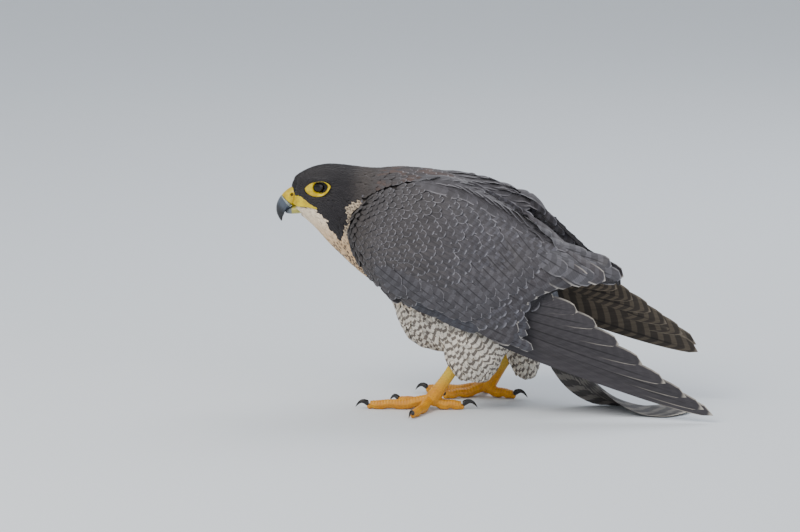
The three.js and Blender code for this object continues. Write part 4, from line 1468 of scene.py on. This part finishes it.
# Rows of the bare ring, from the coat's edge in to the lid: share of the way, and rise in mm
RING_FOLDS = ((0, -0.5), (0.12, 0.35), (0.3, 0.45), (0.5, 0.30), (0.62, 0.55), (0.8, 0.75),
              (0.93, 0.95), (1.0, 0.6))
RING_SEGMENTS = 72
RING_DEPTH = 2.2            # its hidden side lies this far in, mm


def orbital_ring(side, form, material):
    """Bare skin from the coat's edge in to the eyelids, which are rolled edges on the eyeball."""
    centre, away = eye_centre(side), ACROSS * side
    columns = []
    for k in range(RING_SEGMENTS):
        angle = 2 * math.pi * k / RING_SEGMENTS
        edge, _ = on_form(form, centre, *ring_outline(angle), side)
        c, s = OPENING[0] * math.cos(angle), OPENING[1] * math.sin(angle)
        lid_f = c * math.cos(OPENING_TILT) + s * math.sin(OPENING_TILT) - OPENING_BACK
        lid_u = -c * math.sin(OPENING_TILT) + s * math.cos(OPENING_TILT)
        lid = on_ball(centre, lid_f, lid_u, side, 0.55)
        column = []
        # Folds run round the eye, between the lid and the coat
        for share, rise in RING_FOLDS:
            place = edge.lerp(lid, share)
            offset = place - centre
            surface, _ = on_form(form, centre, offset.dot(FORWARD) / MM, offset.dot(UP) / MM, side)
            sunk = max((surface - place).dot(away), 0) * (1 - share ** 3)
            column.append(place + away * (sunk + rise * MM))
        column.append(on_ball(centre, lid_f * 0.97, lid_u * 0.97, side, 0.1))
        column.append(on_ball(centre, lid_f * 1.02, lid_u * 1.02, side, -1.4))
        column.append(edge.lerp(lid, 0.7) - away * RING_DEPTH * MM)
        column.append(edge - away * RING_DEPTH * MM)
        columns.append(column)
    return ringed(side_name(side) + "_eye_ring", list(zip(*columns)), material, capped=False)


def on_form(form, centre, f, u, side):
    """The coat form's surface beside the eye, at a place in side view."""
    start = centre + (FORWARD * f + UP * u + ACROSS * side * 30) * MM
    hit = form.tree.ray_cast(start, -ACROSS * side)
    if hit[0] is None:
        hit = form.tree.find_nearest(centre + (FORWARD * f + UP * u + ACROSS * side * 7) * MM)
    return hit[0], hit[1]


def on_ball(centre, f, u, side, rise):
    across = math.sqrt(max(EYE_RADIUS ** 2 - f * f - u * u, 0))
    place = (FORWARD * f + UP * u + ACROSS * side * across).normalized() * (EYE_RADIUS + rise)
    return centre + place * MM


def soft_skin_material(name, tone, crease, cell, roughness, crease_depth, nostril_shade=None):
    """Bare skin: a waxy, slightly translucent look, creased into cells of the given mm, with painted shade
    in a nostril's hollow where its colour is given.
    """
    material, add = blank_material(name)
    place = add(PLACES, out="Object")
    cells = add("ShaderNodeTexVoronoi", CELL_EDGES, Vector=place, Scale=1 / (cell * MM), out="Distance")
    blotch = add(NOISE, Vector=place, Scale=SKIN_BLOTCHES / MM, Detail=3.0)
    groove = add(MATH, MULTIPLY, add(RAMP, SMOOTH, cells, 0.16, 0.02), 0.35)
    base = add(BLEND, MIX, add(RAMP, SMOOTH, blotch, 0.35, 0.7), _6=rgba(tone), _7=rgba(crease), out=2)
    colour = add(BLEND, MIX, groove, _6=base, _7=rgba(crease), out=2)
    # Painted shade: the nostril's hollow round its peg is coloured near black
    if nostril_shade:
        hole = add(VALUES, {"attribute_name": "hole"}, out="Fac")
        colour = add(BLEND, MIX, hole, _6=colour, _7=rgba(nostril_shade), out=2)
    bump = add(BUMP, Strength=0.5, Distance=crease_depth * MM, Height=add(MATH, LESSER, cells, 0.2))
    add(RESULT, None, add(SHADER, Base_Color=colour, Roughness=roughness, Normal=bump,
                          Subsurface_Weight=0.06, Subsurface_Scale=0.002,
                          Subsurface_Radius=(1.0, 0.45, 0.15)))
    return material


# Bill, cere and gape

NOSTRIL = (25.0, -7.4)
NOSTRIL_RADIUS, NOSTRIL_DEPTH, NOSTRIL_RIM, NOSTRIL_PEG = 1.6, 1.5, 0.35, 1.2
TOOTH = (32.6, -25.6)       # the falcon's tooth on the upper bill's cutting edge
MOUTH_CORNER = (24, -14.6)  # where a ball of cere fills the corner between the bill's halves
MOUTH_BALL = 3.8


def fine_copy(name, source, voxel, rounds, knobs=()):
    mesh = remeshed(name, [source], voxel, 0, rounds, knobs)
    mesh.shade_smooth()
    return mesh


def set_points(mesh, points):
    mesh.vertices.foreach_set("co", points.ravel())
    mesh.update()


def nostrils(mesh):
    """Sinks a round nostril into each side of the cere, with a rim and a small bony peg, and stores where
    its hollow round the peg gets painted shade.
    """
    points, normals, _, _ = arrays(mesh)
    f, u, a = in_head(points)
    off = np.hypot(f - NOSTRIL[0], u - NOSTRIL[1])
    off = np.where(np.abs(a) > 3, off, 99)
    hole = -NOSTRIL_DEPTH * smooth(off, NOSTRIL_RADIUS, NOSTRIL_RADIUS * 0.55)
    rim = NOSTRIL_RIM * smooth(off, NOSTRIL_RADIUS * 0.8, NOSTRIL_RADIUS)
    rim = rim * smooth(off, NOSTRIL_RADIUS * 1.7, NOSTRIL_RADIUS)
    peg = NOSTRIL_PEG * smooth(off, 0.55, 0.2)
    set_points(mesh, points + normals * ((hole + rim + peg) * MM)[:, None])
    # How much painted shade each place of the nostril's hollow gets, none on the peg
    depth = smooth(off, NOSTRIL_RADIUS, NOSTRIL_RADIUS * 0.6) * (1 - smooth(off, 0.5, 0.3))
    write_values(mesh, {"hole": depth})


def upper_horn(mesh):
    """Draws the tooth down, and stores how far each place is from pale base to dark tip."""
    points, _, _, _ = arrays(mesh)
    f, u, _ = in_head(points)
    tooth = smooth(np.hypot(f - TOOTH[0], u - TOOTH[1]), 2.2, 0.4)
    set_points(mesh, points - np.array(UP) * (tooth * 0.9 * MM)[:, None])
    write_values(mesh, {"along": smooth(f - 0.75 * (u + 10), 24, 48)})


def lower_horn(mesh):
    f, _, _ = in_head(arrays(mesh)[0])
    write_values(mesh, {"along": smooth(f, 19, 32)})


def horn_material(name, base, middle_tone, tip, seam):
    """Bill horn: pale at the cere, blue slate then black at the hook, with faint growth lines."""
    material, add = blank_material(name)
    along = add(VALUES, {"attribute_name": "along"}, out="Fac")
    grain = add(NOISE, Vector=add(PLACES, out="Object"), Scale=HORN_GRAINS / MM, Detail=3.0)
    stray = add(MATH, MULTIPLY, add(MATH, SUBTRACT, grain, 0.5), 0.10)
    ragged = add(MATH, ADD, along, stray)
    colour = add(BLEND, MIX, add(RAMP, SMOOTH, ragged, seam, seam + 0.05), _6=rgba(base),
                 _7=rgba(middle_tone), out=2)
    colour = add(BLEND, MIX, add(RAMP, SMOOTH, ragged, 0.62, 1.0), _6=colour, _7=rgba(tip), out=2)
    lines = add(MATH, SINE, add(MATH, MULTIPLY, ragged, 95.0))
    line_dark = add(MATH, MULTIPLY, add(RAMP, SMOOTH, lines, 0.2, 1.0), 0.12)
    colour = add(BLEND, MIX, line_dark, _6=colour, _7=rgba("#0e1014"), out=2)
    height = add(MATH, ADD, add(MATH, MULTIPLY, lines, 0.3), grain)
    bump = add(BUMP, Strength=0.25, Distance=0.06 * MM, Height=height)
    add(RESULT, None, add(SHADER, Base_Color=colour, Roughness=0.34, Normal=bump, Coat_Weight=0.25,
                          Coat_Roughness=0.25))
    return material


def tube(name, points, radii, flat, outward, material, sides=20):
    """A closed flattened tube along points: flat is its thickness over its width."""
    rows = []
    for i, point in enumerate(points):
        ahead = (points[min(i + 1, len(points) - 1)] - points[max(i - 1, 0)]).normalized()
        wide = ahead.cross(outward).normalized()
        up = wide.cross(ahead)
        row = []
        for k in range(sides):
            angle = 2 * math.pi * k / sides
            row.append(point + (wide * math.cos(angle) + up * flat * math.sin(angle)) * radii[i] * MM)
        rows.append(row)
    return ringed(name, rows, material, capped=True)


# The gape from the bill back: forward, up and half-width
GAPE = ([23.0, 18.4, 13.5, 9, 3.2], [-11.3, -12.2, -14.2, -16.0, -18.0], [4.0, 5.3, 2.8, 1.5, 0.7])
GAPE_FLAT = 0.15            # the bare skin's thickness over its width


def gape(side, form, material):
    """Bare yellow skin behind the bill, narrowing to the fold at the corner of the mouth."""
    course, radii = [], []
    for t in np.linspace(0, 4, 26):
        f, u, half = (float(np.interp(t, range(5), column)) for column in GAPE)
        place, _ = on_form(form, HEAD, f, u, side)
        course.append(place - ACROSS * side * (GAPE_FLAT * half - 0.5) * MM)
        radii.append(half)
    return tube(side_name(side) + "_gape", course, radii, GAPE_FLAT, ACROSS * side, material)


def bill_and_cere():
    horn = (("upper_bill", upper_horn, ("#8f9a96", "#4a5360", "#15161a", 0.34)),
            ("lower_bill", lower_horn, ("#b0a84e", "#5f686e", "#24272c", 0.45)))
    pieces = []
    for source, finish, colours in horn:
        mesh = fine_copy(source + "_horn", source, 0.34 * MM, 5)
        finish(mesh)
        mesh.materials.append(horn_material(source + "_horn", *colours))
        pieces.append((object_from(source + "_horn", mesh), "horn"))
        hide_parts(source)
    # Waxy yellow skin, with near-black painted shade inside the nostril's hollow
    cere = fine_copy("cere_skin", "cere", 0.36 * MM, 4, [(on_head(*MOUTH_CORNER), MOUTH_BALL * MM)])
    nostrils(cere)
    cere.materials.append(soft_skin_material("waxy_cere", "#dfc200", "#b39200", 0.5, 0.38, 0.05, "#33180c"))
    pieces.append((object_from("cere_skin", cere), "cere"))
    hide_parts("cere")
    return pieces


# Feet: scutes across the toes and shanks, and black claws

PALMS = {-1: (-45.5, -36), 1: (-12, 36)}    # each foot's middle from above
SCUTE = 2.5                 # length of one scute along a toe, mm
SCUTE_DEPTH = 0.5
TOES = ("middle", "outer", "inner", "hind")
CLAW_SEAT = 1.0 * MM        # a claw's points this near the toe are its root
KNOB_BACK = 0.45            # a toe's end ball sits this share of the root's radius behind it
KNOB_OVER = 0.6 * MM        # and is this much larger


def toe_ends(name, hand):
    """Balls that round each toe over its claw's root."""
    toe = BVHTree.FromObject(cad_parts[name], bpy.context.evaluated_depsgraph_get())
    knobs = []
    for kind in TOES:
        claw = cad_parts[f"{hand}_{kind}_claw"].data
        places = [v.co.copy() for v in claw.vertices]
        near = [p for p in places if toe.find_nearest(p)[3] < CLAW_SEAT]
        root = sum(near, Vector()) / len(near)
        middle_place = sum(places, Vector()) / len(places)
        radius = max((p - root).length for p in near)
        back = (middle_place - root).normalized() * radius * KNOB_BACK
        knobs.append((root - back, radius + KNOB_OVER))
    return knobs


SHANK, SHANK_OUT = (12, 17), (22, 14)   # a foot turns into its shank: height, and distance from its palm
SHANK_PALE = (16, 34)       # the toes' orange turns to the shank's yellow between these heights
SOLE = 1.2                  # below this height no scute stands out
PALM = (5, 10)              # no scutes this near the middle of the palm


def foot(side, material):
    hand = side_name(side)
    name = hand + "_foot"
    mesh = fine_copy(name + "_scutes", name, 0.5 * MM, 6, toe_ends(name, hand))
    points, normals, _, _ = arrays(mesh)
    x, y, z = in_part(points).T
    out = np.hypot(x - PALMS[side][0], y - PALMS[side][1])
    on_shank = smooth(z, *SHANK) * smooth(out, *SHANK_OUT)
    along = out * (1 - on_shank) + z * on_shank
    ridge = np.sqrt(np.clip(np.sin(np.pi * np.mod(along / SCUTE, 1)), 0, 1))
    top = smooth(normals[:, 2], -0.1, 0.5)
    front = smooth(-normals[:, 0], -0.2, 0.5)
    plated = np.where(on_shank > 0.5, front, top) * smooth(out, *PALM)
    plated = np.clip(plated + on_shank * front * smooth(out, *PALM[::-1]), 0, 1)
    rise = SCUTE_DEPTH * (ridge - 0.9) * plated
    rise = np.where(z < SOLE, np.minimum(rise, 0), rise)
    moved = points + normals * (rise * MM)[:, None]
    moved[:, 2] = np.maximum(moved[:, 2], 0)
    set_points(mesh, moved)
    shank = smooth(z, *SHANK_PALE) * smooth(out, 30, 18)
    write_values(mesh, {"crease": (1 - ridge) * plated, "shank": shank, "plated": plated})
    mesh.materials.append(material)
    made = object_from(name + "_scutes", mesh)
    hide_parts(name)
    return made


def scute_material():
    """Scaly toe skin: orange yellow, paler up the shank, dark in the joints between scutes."""
    material, add = blank_material("scaly_toe_skin")
    crease, shank, plated = (add(VALUES, {"attribute_name": key}, out="Fac")
                             for key in ("crease", "shank", "plated"))
    place = add(PLACES, out="Object")
    cells = add("ShaderNodeTexVoronoi", CELL_EDGES, Vector=place, Scale=TOE_CELLS / MM, out="Distance")
    small = add(MATH, MULTIPLY, add(RAMP, SMOOTH, cells, 0.14, 0.02),
                add(MATH, SUBTRACT, 1.0, add(MATH, MULTIPLY, plated, 0.8)))
    blotch = add(RAMP, SMOOTH, add(NOISE, Vector=place, Scale=TOE_BLOTCHES / MM, Detail=3.0), 0.3, 0.72)
    base = add(BLEND, MIX, blotch, _6=rgba("#dd9a00"), _7=rgba("#c88200"), out=2)
    base = add(BLEND, MIX, shank, _6=base, _7=rgba("#cfae32"), out=2)
    groove = add(MATH, GREATER, add(MATH, POWER, crease, 1.6), add(MATH, MULTIPLY, small, 0.55))
    groove = add(MATH, {"operation": "MULTIPLY", "use_clamp": True}, groove, 0.8)
    colour = add(BLEND, MIX, groove, _6=base, _7=rgba("#6e3f0c"), out=2)
    bump = add(BUMP, Strength=0.6, Distance=0.12 * MM, Height=add(MATH, LESSER, cells, 0.2))
    add(RESULT, None, add(SHADER, Base_Color=colour, Roughness=0.46, Normal=bump,
                          Subsurface_Weight=0.05, Subsurface_Scale=0.002,
                          Subsurface_Radius=(1.0, 0.45, 0.15)))
    return material


def claw_material():
    """Black horn claws: glossy, with a faint grey-brown grain."""
    material, add = blank_material("black_claw_horn")
    grain = add(NOISE, Vector=add(PLACES, out="Object"), Scale=CLAW_GRAINS / MM, Detail=4.0)
    colour = add(BLEND, MIX, grain, _6=rgba("#0d0d0f"), _7=rgba("#2a2622"), out=2)
    bump = add(BUMP, Strength=0.2, Distance=0.05 * MM, Height=grain)
    add(RESULT, None, add(SHADER, Base_Color=colour, Roughness=0.27, Normal=bump))
    return material


def claws(material):
    made = []
    for side in SIDES:
        for toe in TOES:
            name = f"{side}_{toe}_claw"
            mesh = fine_copy(name + "_horn", name, 0.27 * MM, 9)
            mesh.materials.append(material)
            made.append(object_from(name + "_horn", mesh))
            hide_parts(name)
    return made


# Skin under the feathers

def skin_material():
    """Down and feather bases under the coat, in the colours that the feathers above wear."""
    material, add = blank_material("downy_skin")
    tone = add(VALUES, {"attribute_name": "tone"}, out="Color")
    fluff = add(NOISE, Vector=add(PLACES, out="Object"), Scale=DOWN_CLUMPS / MM, Detail=3.0)
    dark = add(BLEND, MIX, add(RAMP, SMOOTH, fluff, 0.35, 0.65), _6=rgba("#8a8a8a"),
               _7=rgba("#d0d0d0"), out=2)
    colour = add(BLEND, TINT, 1.0, _6=tone, _7=dark, out=2)
    bump = add(BUMP, Strength=0.6, Distance=0.4 * MM, Height=fluff)
    add(RESULT, None, add(SHADER, Base_Color=colour, Roughness=0.85, Normal=bump))
    return material


def make_skin(form):
    wear = wear_of(form.points, form.regions)
    write_values(form.skin, {"tone": wear["tone"]})
    form.skin.shade_smooth()
    form.skin.materials.append(skin_material())
    skin = object_from("skin", form.skin)
    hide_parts(*FLESH)
    return skin


# The whole bird

make_camera()
make_stage()
make_lights()

form = Form()
contour = feather_material("contour_feather", 0.35, 0.10, 0.62, 0.12, 0.34, 0.915, 0.10)
quill = feather_material("flight_feather", 0.7, 0.06, 0.52, 0.03, 0.72, 0.975, 0.045)
scute = scute_material()
yellow_skin = soft_skin_material("bare_eye_skin", "#e2c800", "#b69800", 0.7, 0.4, 0.08)

plumage = [make_skin(form), *coat(form, contour)]
for side in SIDES.values():
    quills, tertials = flight_feathers(form, side, quill)
    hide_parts(side_name(side) + "_primaries")
    plumage += [quills, tertials]
plumage.append(scapulars(form, contour))
plumage.append(tail_feathers(form, quill))
for piece in plumage:
    "quills" if "quill" in piece.name or "tail" in piece.name else "plumage"

bare = bill_and_cere()
for side in SIDES.values():
    bare.append((eyeball(side, eye_material(side)), "eyes"))
    bare.append((orbital_ring(side, form, yellow_skin), "cere"))
    bare.append((gape(side, form, yellow_skin), "cere"))
    bare.append((foot(side, scute), "scutes"))
bare += [(claw, "talons") for claw in claws(claw_material())]

for piece in [*plumage, *[piece for piece, _ in bare]]:
    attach(piece, "root")
